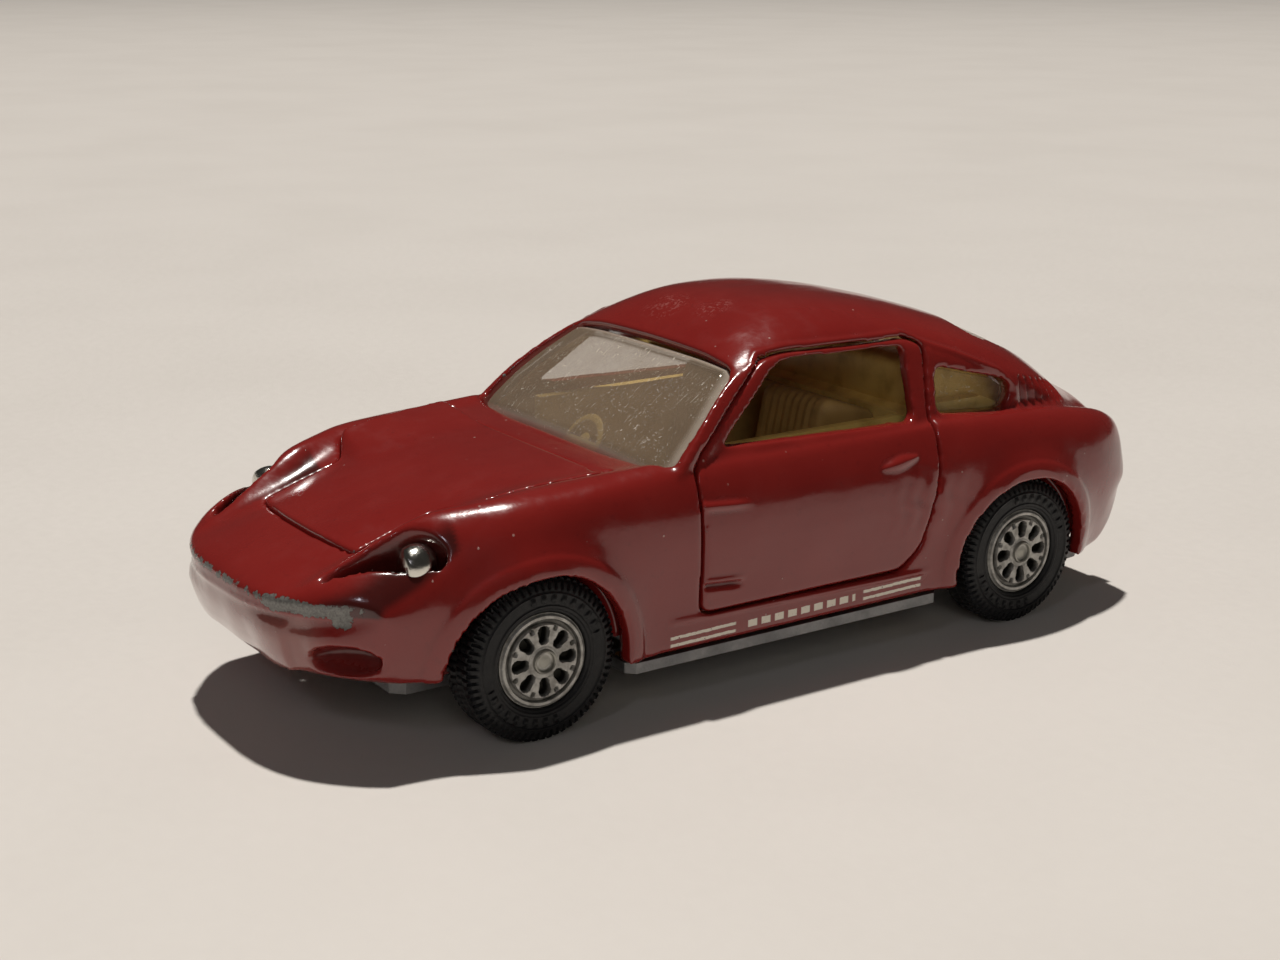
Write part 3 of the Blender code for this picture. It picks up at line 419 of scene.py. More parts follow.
def slanted(origin, angle):
    """Places an outline given on a sloping screen: u across, v up the slope, w square out of it."""
    up = (math.cos(angle), math.sin(angle))
    out = (-math.sin(angle), math.cos(angle))
    return lambda u, v, w: (u, origin[0] + v * up[0] + w * out[0], origin[1] + v * up[1] + w * out[1])


def both_halves(half):
    """Whole outline from its right half."""
    return list(half) + [(-x, v) for x, v in reversed(half) if x > 0]


WINDSCREEN_PLANE = slanted((-14.2, 19.9), math.radians(34.8))
REAR_PLANE = slanted((24.2, 27.2), math.radians(-29.0))


# ---- solids of the painted castings ----
def refined(stations, step):
    """The same stations with more between them, no further apart than step."""
    out = [stations[0]]
    for a, b in zip(stations, stations[1:]):
        count = max(1, math.ceil((b - a) / step))
        out += [a + (b - a) * (k + 1) / count for k in range(count)]
    return out


def eased(rings, rounds, held=5):
    """Evens out the rings along the car, so that reflections run smoothly over it; the ends stay crisp."""
    rows = np.array(rings)
    for _ in range(rounds):
        between = 0.5 * rows[1:-1] + 0.25 * (rows[:-2] + rows[2:])
        rows[held:-held] = between[held - 1:1 - held]
    return rows.tolist()


LOWER_STATIONS = (-44.5, -44.3, -44.1, -43.7, -43.2, -42.6, -42, -38, 22, 38, 41, 41.5, 41.8, 42, 42.2)
LOWER_HOLLOW_STATIONS = (-40, -37, -33.5, -30, -25, -16, -8, 2, 12, 22, 30, 37, 39, 40.4)


def lower_mesh(depth=0.0, per_span=6):
    """The body below the waist; with a depth, the hollow that far inside it."""
    stations = refined(LOWER_HOLLOW_STATIONS, 3.0) if depth else refined(LOWER_STATIONS, 0.7)
    rings = []
    for s in stations:
        chain = lower_profile(s, per_span, depth)
        floor = chain[-1][1]
        pinched = not depth and s in (stations[0], stations[-1])
        if depth:
            floor -= 3.0
            chain[-1] = [chain[-1][0], floor]
        # The hollow is narrower in the nose, where the lamp scoops stand beside it.
        waist = 1.0
        if depth:
            waist = 0.55 + 0.45 * min(max((s + 33.5) / 3.5, 0.0), 1.0)

        def place(x, z, s=s, waist=waist):
            x = x * waist
            if waist < 1:
                z = min(z, DECK_Z(s) - depth)
            y = lower_y(s, x)
            swell = 0.0
            if abs(x) > 10 and z < 17:
                swell = flare(y, z, AXLE_FRONT) + flare(y, z, AXLE_REAR)
            return (x + math.copysign(swell, x), y, z)

        rings.append(full_ring(chain, floor, place, pinched))
    if not depth:
        rings = eased(rings, 5)
    return loft_mesh(rings, len(rings[0]) // 2, bool(depth))


def house_mesh(depth=0.0, per_span=6, floor_z=None):
    """The cabin; with a depth, the hollow that far inside it, down to floor_z."""
    stations = (-14.2, -8, -3.7, -1.2, 2.5, 13, 33, 36)
    if depth:
        stations = refined(stations + (38.5,), 3.0)
    else:
        stations = refined((-15.2,) + stations + (39, 40.8, 41.8), 0.7)
    rings = []
    for s in stations:
        chain = house_profile(s, per_span, depth)
        floor = chain[-1][1]
        if depth:
            floor = floor_z
            chain[-1] = [chain[-1][0], floor]
        rings.append(full_ring(chain, floor, lambda x, z, s=s: (x, house_y(s + depth * 0.9, x), z)))
    if not depth:
        rings = eased(rings, 10)
    return loft_mesh(rings, len(rings[0]) // 2)


def lamp_recess(side):
    """Three-cornered scoop beside the bonnet: an overhanging wall behind, running out to a point in front."""
    plan = [(9.9, -41.6), (11.6, -39.4), (13.2, -36.9), (14.65, -34.8), (15.4, -33.4), (15.1, -32.5),
            (13.5, -32.8), (11.6, -34.6)]
    plan = mirrored(rounded(plan, 0.9, 6), side)
    centre = (side * 12.9, -36.2)
    levels = [(24.0, 1.0), (18.0, 1.0)] + [(None, share) for share in (1.0, 0.85, 0.65, 0.45, 0.25, 0.1)]
    rings = []
    for level, share in levels:
        ring = []
        for px, py in plan:
            x, y = centre[0] + (px - centre[0]) * share, centre[1] + (py - centre[1]) * share
            bowl = 12.6 + 0.5 * max(0.0, abs(x) - 13.0) + 0.5 * share ** 3 + 0.9 * smoothstep(-y, 36.5, 41.0)
            z = bowl if level is None else level
            overhang = 0.28 * (18.0 - z) * smoothstep(y, -35.6, -34.2)
            ring.append((x, y + overhang, z))
        rings.append(ring)
    return loft_mesh(rings, len(plan) - 1)


def intake(side):
    """Shallow oval scoop low on the corner of the nose."""
    mesh = bmesh.new()
    bmesh.ops.create_uvsphere(mesh, u_segments=32, v_segments=20, radius=1.0)
    for vertex in mesh.verts:
        x, y, z = vertex.co
        turn = math.radians(48) * side
        x, y = x * 3.0, y * 2.4
        vertex.co = (side * 12.9 + x * math.cos(turn) - y * math.sin(turn),
                     -39.9 + x * math.sin(turn) + y * math.cos(turn), 8.5 + z * 1.25)
    return mesh


# ---- working on meshes ----
def scratch(mesh, name="scratch"):
    """An object, still in millimetres, from a bmesh."""
    bmesh.ops.recalc_face_normals(mesh, faces=mesh.faces)
    data = bpy.data.meshes.new(name)
    mesh.to_mesh(data)
    mesh.free()
    obj = bpy.data.objects.new(name, data)
    bpy.context.scene.collection.objects.link(obj)
    return obj


def bake(obj):
    """Applies the object's modifiers."""
    graph = bpy.context.evaluated_depsgraph_get()
    data = bpy.data.meshes.new_from_object(obj.evaluated_get(graph))
    obj.modifiers.clear()
    obj.data = data


def combine(obj, mesh, operation):
    """Combines the object with a solid that isn't needed afterwards."""
    tool = scratch(mesh)
    change = obj.modifiers.new("combine", "BOOLEAN")
    change.operation = operation
    change.solver = "MANIFOLD"
    change.object = tool
    bake(obj)
    bpy.data.objects.remove(tool)


def cut(obj, mesh):
    combine(obj, mesh, "DIFFERENCE")


def join(obj, mesh):
    combine(obj, mesh, "UNION")


def bevel(obj, width, segments):
    """Adds a modifier that rounds the sharp edges."""
    change = obj.modifiers.new("edges", "BEVEL")
    change.width = width
    change.segments = segments
    change.limit_method = "ANGLE"
    return change


def softened(obj, width, segments=3):
    """Rounds the sharp edges for good."""
    bevel(obj, width, segments)
    bake(obj)


def remeshed(obj, size=VOXEL):
    """One even skin over everything joined and cut so far."""
    change = obj.modifiers.new("remesh", "REMESH")
    change.mode = "VOXEL"
    change.voxel_size = size
    bake(obj)


def decimated(obj, faces):
    """Thins the mesh down to a number of triangles."""
    have = len(obj.data.loop_triangles) or sum(len(p.vertices) - 2 for p in obj.data.polygons)
    if have > faces:
        change = obj.modifiers.new("thin", "DECIMATE")
        change.ratio = faces / have
        bake(obj)


def read(items, key, kind, wide):
    """An array of one property of every item of a mesh."""
    out = np.empty(len(items) * wide, kind)
    items.foreach_get(key, out)
    return out.reshape(-1, wide)


def points_of(obj):
    return read(obj.data.vertices, "co", np.float32, 3).astype(np.float64)


def normals_of(obj):
    return read(obj.data.vertices, "normal", np.float32, 3).astype(np.float64)


def edges_of(obj):
    return read(obj.data.edges, "vertices", np.int32, 2)


def set_points(obj, points):
    obj.data.vertices.foreach_set("co", points.astype(np.float32).ravel())
    obj.data.update()


def averaged(values, edges, count):
    """Mean over each point's neighbours."""
    a, b = edges[:, 0], edges[:, 1]
    share = np.bincount(a, minlength=count) + np.bincount(b, minlength=count)
    out = np.empty_like(values)
    for k in range(values.shape[1]):
        total = np.bincount(a, values[b, k], count) + np.bincount(b, values[a, k], count)
        out[:, k] = total / np.maximum(share, 1)
    return out


def relaxed(obj, rounds, share=0.6, where=None):
    """Smooths as thick paint does: creases soften, and broad shapes stay; where weighs the places."""
    points, edges = points_of(obj), edges_of(obj)
    weight = share if where is None else share * where(points)[:, None]
    for _ in range(rounds):
        points += weight * (averaged(points, edges, len(points)) - points)
    set_points(obj, points)


def smoothstep(value, low, high):
    """0 up to low, 1 from high, and a smooth ramp between."""
    t = np.clip((value - low) / (high - low), 0.0, 1.0)
    return t * t * (3 - 2 * t)


def bell(distance, width):
    """1 at no distance, falling smoothly to 0 at the width."""
    return np.clip(1 - (distance / width) ** 2, 0, 1) ** 2


def to_line(y, z, *line):
    """Distance in a plane from each point to a chain of straight runs."""
    best = np.full(len(y), 1e9)
    for (ya, za), (yb, zb) in zip(line, line[1:]):
        run = (yb - ya) ** 2 + (zb - za) ** 2
        t = np.clip(((y - ya) * (yb - ya) + (z - za) * (zb - za)) / run, 0, 1)
        best = np.minimum(best, np.hypot(y - ya - t * (yb - ya), z - za - t * (zb - za)))
    return best


WINDOW_LIP = ((-8.9, 21.5), (-1.1, 27.35), (1.8, 27.65), (14.8, 27.35), (17.0, 26.3), (20.0, 25.2),
              (24.6, 23.2), (26.3, 21.6), (26.5, 19.6))


def ripples(y, z):
    """Shallow knocks and wrinkles: where the door meets the rear wing, and here and there on the door."""
    wave = np.sin(2.6 * y + 1.1 * z + 0.8 * np.sin(1.9 * z)) * np.sin(1.4 * z - 0.9 * y)
    rear = np.exp(-((y - 13.8) / 3.6) ** 2 - ((z - 13.6) / 2.4) ** 2)
    slow = np.sin(0.9 * y + 0.5) * np.sin(0.7 * z + 0.3 * y)
    return 0.085 * wave * rear + 0.035 * slow * np.exp(-((z - 12) / 4.5) ** 2)


def side_relief(points, normals):
    """How far the pressed and cast details of the car's side stand proud of it."""
    x, y, z = points.T
    facing = smoothstep(normals[:, 0] * np.sign(x), 0.25, 0.55) * (np.abs(x) > 10.5)
    out = 0.17 * bell(to_line(y, z, *WINDOW_LIP), 0.34)
    # The raised rim of each wheel arch.
    for axle in (AXLE_FRONT, AXLE_REAR):
        reach = np.hypot(y - axle + ARCH_AHEAD, z - ARCH_HEIGHT)
        out += 0.12 * (1 - smoothstep(reach, 9.1, 9.5)) * (z > 3) * (np.abs(x) > 15)
    # Upright louvres in a sunk panel behind the quarter window.
    top = 22.6 - 0.27 * (y - 27)
    low = 19.75 - 0.11 * (y - 27)
    panel = smoothstep(y, 26.9, 27.4) * (1 - smoothstep(y, 33.4, 34.0))
    panel *= smoothstep(z, low, low + 0.4) * (1 - smoothstep(z, top - 0.4, top))
    slats = np.abs((y + 0.1 * (z - 20) - 27.9 + 0.5) % 1.02 - 0.5)
    out += panel * (0.42 * bell(slats, 0.34) - 0.3)
    # Two thin ribs down the pillar behind the door.
    pillar = smoothstep(z, 20.3, 20.9) * (1 - smoothstep(z, 25.6, 26.2))
    for edge_y, edge_z in ((15.55, 20.4), (16.35, 20.6)):
        out += 0.13 * bell(y - edge_y - 0.11 * (z - edge_z), 0.22) * pillar
    # A long bead over the sill, and the dents.
    sill = smoothstep(y, -13.5, -12.5) * (1 - smoothstep(y, 13, 15))
    out += ripples(y, z) + 0.18 * bell(z - 7.25 + 0.02 * y, 0.35) * sill
    return out * facing


def front_relief(points, normals):
    """A fold across the front of the nose, and below it a flatter face with upright corners."""
    x, y, z = points.T
    facing = smoothstep(-normals[:, 1], 0.35, 0.7) * (1 - smoothstep(y, -41.0, -39.5))
    fold = 0.14 * bell(z - 11.75 - 0.02 * x, 0.3)
    below = 1 - smoothstep(z, 10.8, 11.6)
    presses = 0.05 * np.sin(0.45 * x + 0.4 * z) * np.sin(0.8 * x - 0.9 * z)
    reach = np.abs(x) - 0.12 * (z - 9.0)
    corner = 0.34 * smoothstep(reach, 3.5, 8.6) * (1 - smoothstep(reach, 8.8, 9.5))
    corner -= 0.14 * bell(reach - 10.3, 0.9)
    return (fold + (presses + corner) * below) * facing


def door_relief(points, normals):
    """The door's handle, the crease behind its front edge, and the slotted vent low down."""
    x, y, z = points.T
    facing = smoothstep(normals[:, 0] * np.sign(x), 0.3, 0.6)
    # The handle, swelling in its middle.
    along = np.clip((y - 8.6) / 4.2, 0, 1)
    swell = np.sin(np.pi * along)
    grip = bell(z - 17.05 - 0.12 * (y - 8.6), 0.25 + 0.5 * swell) * (np.abs(along - 0.5) < 0.5)
    out = 0.42 * grip * swell ** 0.5
    # The crease, and below it the slot of the vent with its lip.
    ridge = bell(to_line(y, z, (-9.9, 16.75), (-5.0, 16.35)), 0.55)
    out += 0.34 * ridge * (1 - smoothstep(y, -7.5, -4.8))
    slot = bell(to_line(y, z, (-9.6, 9.95), (-5.9, 9.6)), 0.42)
    out -= 0.38 * slot * (1 - smoothstep(y, -7.2, -5.6))
    out += 0.16 * bell(to_line(y, z, (-9.6, 10.45), (-5.7, 10.1)), 0.35) * (1 - smoothstep(y, -7.2, -5.4))
    out += ripples(y, z)
    return out * facing


def top_relief(points, normals):
    """A crease across the cowl, with a dimple at each end."""
    x, y, _ = points.T
    up = smoothstep(normals[:, 2], 0.5, 0.8)
    cowl = to_line(x, y, (-13.2, -16.6), (0.0, -17.75), (13.2, -16.6))
    out = -0.08 * bell(cowl, 0.3) * (y < -15)
    for side in (-1, 1):
        out -= 0.3 * bell(np.hypot((x - side * 12.9) / 1.6, y + 16.4), 0.45)
    return out * up


def displaced(obj, *reliefs):
    """Moves each point along its normal by the sum of the reliefs."""
    points, normals = points_of(obj), normals_of(obj)
    offset = sum(relief(points, normals) for relief in reliefs)
    set_points(obj, points + normals * offset[:, None])


def near(points, place, radius):
    """1 at a place, falling evenly to 0 a radius away."""
    return np.clip(1 - np.linalg.norm(points - np.array(place), axis=1) / radius, 0, 1)


def wear(obj, spots=(), scuffs=()):
    """Point attributes for the paint: exposed edges, corners, knocks, scuffs and the scoops' shade."""
    points, normals, edges = points_of(obj), normals_of(obj), edges_of(obj)
    bend = averaged(points, edges, len(points)) - points
    length = np.linalg.norm(points[edges[:, 0]] - points[edges[:, 1]], axis=1)
    size = np.bincount(edges[:, 0], length, len(points)) + np.bincount(edges[:, 1], length, len(points))
    size /= np.maximum(np.bincount(edges.ravel(), minlength=len(points)), 1)
    curve_of = (-(bend * normals).sum(axis=1) / np.maximum(size, 1e-6) ** 2)[:, None]
    for _ in range(3):
        curve_of = 0.5 * curve_of + 0.5 * averaged(curve_of, edges, len(points))
    curve_of = curve_of[:, 0]
    knocked = np.zeros(len(points))
    for *place, radius, strength in spots:
        knocked = np.maximum(knocked, strength * near(points, place, radius) ** 0.7)
    scuffed = np.zeros(len(points))
    for *place, radius in scuffs:
        scuffed = np.maximum(scuffed, near(points, place, radius))
    x, y, z = points.T
    shade = smoothstep(14.2 + 0.5 * (y + 41.5) - z, 0.5, 1.8) * (z > 12.2) * (np.abs(x) > 9.0)
    shade *= 1 - smoothstep(np.abs(x), 15.2, 15.6)
    shade *= smoothstep(y, -41.6, -41.0) * (1 - smoothstep(y, -31.4, -31.0))
    attribute(obj, "edge", np.clip(curve_of / 1.1, 0, 1))
    attribute(obj, "corner", np.clip(-curve_of / 0.9, 0, 1))
    attribute(obj, "knocked", knocked)
    attribute(obj, "scuffed", scuffed)
    attribute(obj, "shade", shade)


def attribute(obj, name, values):
    """A number at each point, for the materials to read."""
    layer = obj.data.attributes.new(name, "FLOAT", "POINT")
    layer.data.foreach_set("value", np.asarray(values, np.float32))


def finished(obj, name, mat, body, node, sharp=None):
    """Moves a piece from millimetres and stations to the frame, gives it its material, puts it under its
    body, and hides the CAD node, if any, that it replaces.
    """
    obj.name = name
    obj.data.name = name
    points = points_of(obj)
    points[:, 1] += CENTRE_Y
    set_points(obj, points * MM)
    obj.data.materials.clear()
    obj.data.materials.append(mat)
    obj.data.shade_smooth()
    if sharp:
        obj.data.set_sharp_from_angle(angle=math.radians(sharp))
    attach(obj, body)
    if node:
        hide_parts(node)


# ---- painted castings ----
# Knocks in the paint: each is a place, a radius and a strength.
NOSE_CHIPS = tuple((x, lower_y(-44.4, x), 12.8, 0.75, 0.95) for x in np.linspace(-13.5, 14.5, 57))
NOSE_CHIPS += tuple((x, lower_y(-44.3, x), 12.55, 0.95, 1.5) for x in np.linspace(7.5, 13.5, 15))
BODY_SPOTS = NOSE_CHIPS + (
    (13.2, lower_y(-44.0, 13.2), 11.9, 1.3, 1.5), (14.6, -35.6, 14.6, 1.2, 0.6),
    (10.6, -40.0, 14.3, 1.2, 0.7), (-10.6, -40.0, 14.3, 1.2, 0.5), (16.0, -9.9, 21.6, 1.2, 0.6),
    (14.6, -6.4, 24.0, 1.2, 0.6), (13.4, -2.0, 27.2, 1.2, 0.6), (-14.5, -9.5, 22.0, 1.0, 0.5),
    (15.6, 15.6, 25.0, 0.9, 0.45))
# Scuffs are places and a radius.
BODY_SCUFFS = ((-2.0, -0.5, 29.4, 3.6), (3.0, 0.8, 29.8, 2.6), (-6.0, 20.0, 27.5, 3.0),
               (12.8, -6.5, 24.0, 2.0))

# Ledges inside the casting.  Those of the bay: inner and outer x, front and back y, height of the underside.
NOSE_LEDGE = ((-8.6, -41.6, 7.6), (8.6, -36.6, 8.4))
BAY_LEDGES = ((7.0, 9.9, -37.2, -34.65, 7.6), (12.7, 15.4, -17.0, -10.4, 9.3))
LEDGE_THICKNESS = 0.8


def near_scoops(points):
    """1 round the lamp scoops, falling to 0 away from them."""
    x, y, z = points.T
    along = smoothstep(y, -42.4, -41.4) * (1 - smoothstep(y, -33.4, -32.0))
    return along * smoothstep(z, 12.0, 13.0) * smoothstep(np.abs(x), 9.2, 10.2)


def body_shell(paint):
    """The die-cast body: lofted and opened, then skinned with its relief, and hollowed last."""
    body = scratch(lower_mesh())
    cut_wells_and_lamps(body)
    join(body, house_mesh())
    cut_windows_and_lids(body)
    remeshed(body)
    relaxed(body, 4)
    relaxed(body, 8, 0.6, near_scoops)
    displaced(body, side_relief, front_relief, top_relief)
    relaxed(body, 1, 0.4)
    keep_inside_cad(body)
    decimated(body, BODY_FACES)
    hollow(body)
    wear(body, BODY_SPOTS, BODY_SCUFFS)
    finished(body, "body_casting", paint, "chassis", "body_shell")


def cut_wells_and_lamps(body):
    """Wheel wells, lamp scoops, corner intakes, and the seats of the tail lamps and the number plate."""
    for _, side in SIDES:
        for _, axle in AXLES:
            centre = (0, axle - ARCH_AHEAD, ARCH_HEIGHT)
            cut(body, rod_mesh(centre, "X", ARCH_RADIUS, *span(side, 11.6, 24.0), 72))
        cut(body, lamp_recess(side))
        cut(body, intake(side))
        cut(body, rod_mesh((side * TAIL_LAMP_X, 0, TAIL_LAMP_Z), "Y", 1.35, 40.3, 46.0, 32))
    cut(body, box_mesh(*PLATE_SEAT))


def cut_windows_and_lids(body):
    """Openings of both screens, the bonnet, the doors and the quarter windows."""
    for outline, place in ((WINDSCREEN, WINDSCREEN_PLANE), (REAR_SCREEN, REAR_PLANE)):
        cut(body, prism_mesh(rounded(both_halves(outline), 0.8, 4), None, -4.0, 3.0, place))
    cut(body, bonnet_mesh(lambda s, share: 4.0, -4.0, GAP - 0.12))
    for _, side in SIDES:
        reach = span(side, 9.0, 22.0)
        cut(body, prism_mesh(rounded(grown(DOOR_EDGE, GAP - 0.08), 1.0, 5), "X", *reach))
        cut(body, prism_mesh(rounded(QUARTER_WINDOW, 0.9, 5), "X", *reach))


def keep_inside_cad(body, margin=0.02):
    """Holds the relief within the CAD's length and width."""
    points = points_of(body)
    for axis, move in ((0, 0.0), (1, CENTRE_Y)):
        low, high = CAD_BOX[0][axis] / MM - move, CAD_BOX[1][axis] / MM - move
        points[:, axis] = np.clip(points[:, axis], low + margin, high - margin)
    set_points(body, points)


def hollow(body):
    """Takes out the inside of the casting, then adds the walls and ledges that stand in it."""
    cut(body, lower_mesh(SHELL, 1))
    cut(body, house_mesh(ROOF_SHELL, 1, 13.0))
    join(body, box_mesh(*NOSE_LEDGE))
    for _, side in SIDES:
        for inner, outer, front, back, height in BAY_LEDGES:
            low, high = span(side, inner, outer)
            join(body, box_mesh((low, front, height), (high, back, height + LEDGE_THICKNESS)))
        for _, axle in AXLES:
            low, high = span(side, *WELL_WALL)
            join(body, box_mesh((low, axle - 8.2, 5.2), (high, axle + 8.2, 14.6)))
            join(body, arch_liner(side, axle))
            cut(body, rod_mesh((0, axle, TYRE_RADIUS), "X", 1.3, low - 0.5, high + 0.5, 24))


def arch_liner(side, axle):
    """Curved wall that closes the wheel's well above, ahead of and behind the tyre."""
    rings = []
    ring = [(11.2, ARCH_RADIUS - 0.05), (15.5, ARCH_RADIUS - 0.05), (15.5, 8.6), (11.2, 8.6)]
    for a in np.linspace(math.radians(5), math.radians(175), 49):
        rings.append([(side * x, axle - ARCH_AHEAD + r * math.cos(a), ARCH_HEIGHT + r * math.sin(a))
                      for x, r in ring])
    return loft_mesh(rings, 3)


def door(name, side, paint):
    """Skin with a framed open window, on the same surface as the body's side."""
    stations = refined((-10.4, -8.7, -0.9, 1.8, 13.4, 16.7), 0.45)
    heights = refined((7.3, 15, 20.4, 27.7), 0.4)
    rings = []
    for y in stations:
        outer = [(side * side_x(y, z), y, z) for z in heights]
        inner = [(x - side * DOOR_SKIN, y, z) for x, y, z in reversed(outer)]
        rings.append(outer + inner)
    panel = scratch(loft_mesh(rings, len(rings[0]) - 1))
    reach = span(side, 8.0, 22.0)
    edge = rounded(grown(DOOR_EDGE, 0.03), 1.0, 6)
    combine(panel, prism_mesh(edge, "X", *reach), "INTERSECT")
    window = rounded(DOOR_WINDOW, 0.9, 6)
    cut(panel, prism_mesh(window, "X", *reach))
    remeshed(panel, VOXEL * 0.75)
    relaxed(panel, 4)
    displaced(panel, door_relief)
    relaxed(panel, 1, 0.4)
    decimated(panel, DOOR_FACES)
    spots = ((side * 16.9, -9.9, 19.0, 1.1, 0.55), (side * 17.3, -9.9, 15.0, 1.0, 0.5),
             (side * 14.6, -6.0, 23.2, 1.0, 0.5), (side * 17.1, 12.9, 9.4, 1.0, 0.5))
    wear(panel, spots)
    finished(panel, f"door_skin_{name}", paint, f"door_{name}", f"door_{name}")


def bonnet_rise(s, share):
    """The bonnet sits a little crooked: level at its sides, and proud at its rear, most on the right."""
    rear = smoothstep(s, -29.5, -27.8)
    return 0.05 + 0.18 * (1 - abs(share) ** 4) + rear * 0.7 * smoothstep(-share, 0.35, 0.95)


def bonnet(paint):
    """Slab that closes the bay."""
    slab = scratch(bonnet_mesh(bonnet_rise, -0.95, 0.12))
    remeshed(slab, VOXEL * 0.7)
    relaxed(slab, 4)
    decimated(slab, BONNET_FACES)
    spots = ((8.2, -30.4, 18.3, 1.0, 0.8), (9.4, -29.4, 18.6, 0.9, 0.9), (-9.4, -29.6, 18.6, 0.9, 0.7),
             (7.9, -37.0, 15.8, 1.0, 0.6), (-3.0, -37.2, 15.8, 0.9, 0.5))
    wear(slab, spots)
    finished(slab, "bonnet_casting", paint, "bonnet", "bonnet")


# ---- clear parts ----
def screen(name, outline, place, clear, node):
    """Moulded pane, domed in the middle, with a rounded shoulder down to its opening all round."""
    across, up = 56, 40
    low, high = outline[0][1] + 0.3, outline[-1][1] - 0.2
    rims, rows = [], []
    for k in range(up + 1):
        v = low + (high - low) * 0.5 * (1 - math.cos(math.pi * k / up))
        half = widest_at(outline, v) - 0.2
        row = []
        for j in range(across + 1):
            share = -math.cos(math.pi * j / across)
            u = share * half
            edge = min(v - low, high - v, half - abs(u))
            fall = PANE_SHOULDER * (1 - min(edge / 1.15, 1.0)) ** 2
            y = place(u, v, 0.0)[1]
            s = y - HOUSE_BOW(y) * (u / 14.6) ** 2
            lift = (surface_z(house_profile, s, u) - place(u, v, 0.0)[2]) * SCREEN_LEAN
            row.append((u, v, lift - PANE_SUNK - fall))
            rims.append(1 - min(edge / 1.5, 1.0))
        rows.append(row)
    mesh = bmesh.new()
    skins = []
    for drop in (0.0, PANE_THICKNESS):
        skins.append([[mesh.verts.new(place(u, v, w - drop)) for u, v, w in row] for row in rows])
    for grid in skins:
        for a, b in zip(grid, grid[1:]):
            for j in range(across):
                mesh.faces.new((a[j], a[j + 1], b[j + 1], b[j]))
    border = [(0, j) for j in range(across)] + [(i, across) for i in range(up)]
    border += [(up, j) for j in range(across, 0, -1)] + [(i, 0) for i in range(up, 0, -1)]
    for (i, j), (p, q) in zip(border, border[1:] + border[:1]):
        mesh.faces.new((skins[0][i][j], skins[0][p][q], skins[1][p][q], skins[1][i][j]))
    pane = scratch(mesh)
    # rim: how near each point is to the pane's edge; the material paints a highlight there.
    attribute(pane, "rim", rims + rims)
    finished(pane, name, clear, "chassis", node)


def quarter_light(name, side, clear):
    """Small side pane, bent to follow the body's side and set in a little."""
    outline = rounded(grown(QUARTER_WINDOW, -0.12), 0.8, 5)
    pane = scratch(prism_mesh(outline, "X", -1.0, 0.0))
    remeshed(pane, 0.22)
    relaxed(pane, 2)
    points = points_of(pane)
    points[:, 0] = [side * (side_x(y, z) - 0.42 + min(x, 0.0) * 0.9) for x, y, z in points]
    set_points(pane, points)
    if side < 0:
        pane.data.flip_normals()
    finished(pane, f"quarter_pane_{name}", clear, "chassis", f"quarter_light_{name}")


# ---- wheels ----
def turned_grid(section, count, shape):
    """Closed turned surface whose points are placed by shape(index along the section, angle)."""
    mesh = bmesh.new()
    rings = []
    for i in range(len(section)):
        ring = []
        for a in (math.tau * k / count for k in range(count)):
            along, radius = shape(i, a)
            ring.append(mesh.verts.new((along, radius * math.cos(a), radius * math.sin(a))))
        rings.append(ring)
    for low, high in zip(rings, rings[1:] + rings[:1]):
        band(mesh, low, high)
    return mesh


def on_axle(mesh, axle):
    """An object from a mesh that was turned about the axle's own centre."""
    obj = scratch(mesh)
    set_points(obj, points_of(obj) + np.array((0.0, axle, TYRE_RADIUS)))
    return obj


def tyre(name, side, axle, mat):
    """Tyre with fine rings and raised bars on its wall, and tread blocks that wrap its shoulder."""
    inner = TYRE_INNER + 0.6
    corners = [(inner + 0.1, RIM_RADIUS + 0.02), (inner, 4.6), (inner, 5.9), (inner + 0.25, 6.45),
               (inner + 0.7, TYRE_RADIUS), (TYRE_OUTER - 0.95, TYRE_RADIUS), (TYRE_OUTER - 0.35, 6.45),
               (TYRE_OUTER - 0.02, 5.8), (TYRE_OUTER, 4.9), (TYRE_OUTER - 0.08, 4.3), (TYRE_OUTER - 0.2, 4.0),
               (TYRE_OUTER - 0.5, RIM_RADIUS)]
    section = smooth_chain(corners, 9)

    def shape(i, a):
        along, radius = section[i]
        radius = min(radius, TYRE_RADIUS)
        outer = smoothstep(along, TYRE_OUTER - 0.6, TYRE_OUTER - 0.35)
        rim = bell(radius - 5.5, 0.1)
        bar = smoothstep(abs((a * 34 / math.tau) % 1.0 - 0.5), 0.26, 0.18) * (abs(math.sin(a + 0.5)) > 0.72)
        marks = bar * bell(radius - 5.0, 0.42)
        rings = sum(bell(radius - ring, 0.13) for ring in (4.3, 4.45))
        along += 0.10 * outer * (rings + rim) + 0.16 * outer * marks - 0.1 * outer
        phase = (a * TREAD_BLOCKS / math.tau) % 1.0
        slot = smoothstep(abs(phase - 0.5), 0.30, 0.42)
        shoulder = smoothstep(radius, 5.75, 5.95) * outer
        along -= 0.24 * slot * shoulder
        tread = smoothstep(radius, 6.3, 6.6)
        shift = (phase + 0.5 * smoothstep(along, 14.8, 15.0)) % 1.0
        block = smoothstep(abs(shift - 0.5), 0.32, 0.42)
        grooves = max(bell(along - 13.9, 0.22), bell(along - 14.9, 0.22), bell(along - 15.9, 0.22))
        radius -= tread * (0.22 * max(block, grooves))
        return side * along, radius

    obj = on_axle(turned_grid(section, TREAD_BLOCKS * TREAD_STEPS, shape), axle)
    finished(obj, f"tyre_tread_{name}", mat, f"wheel_{name}", f"tyre_{name}", 50)


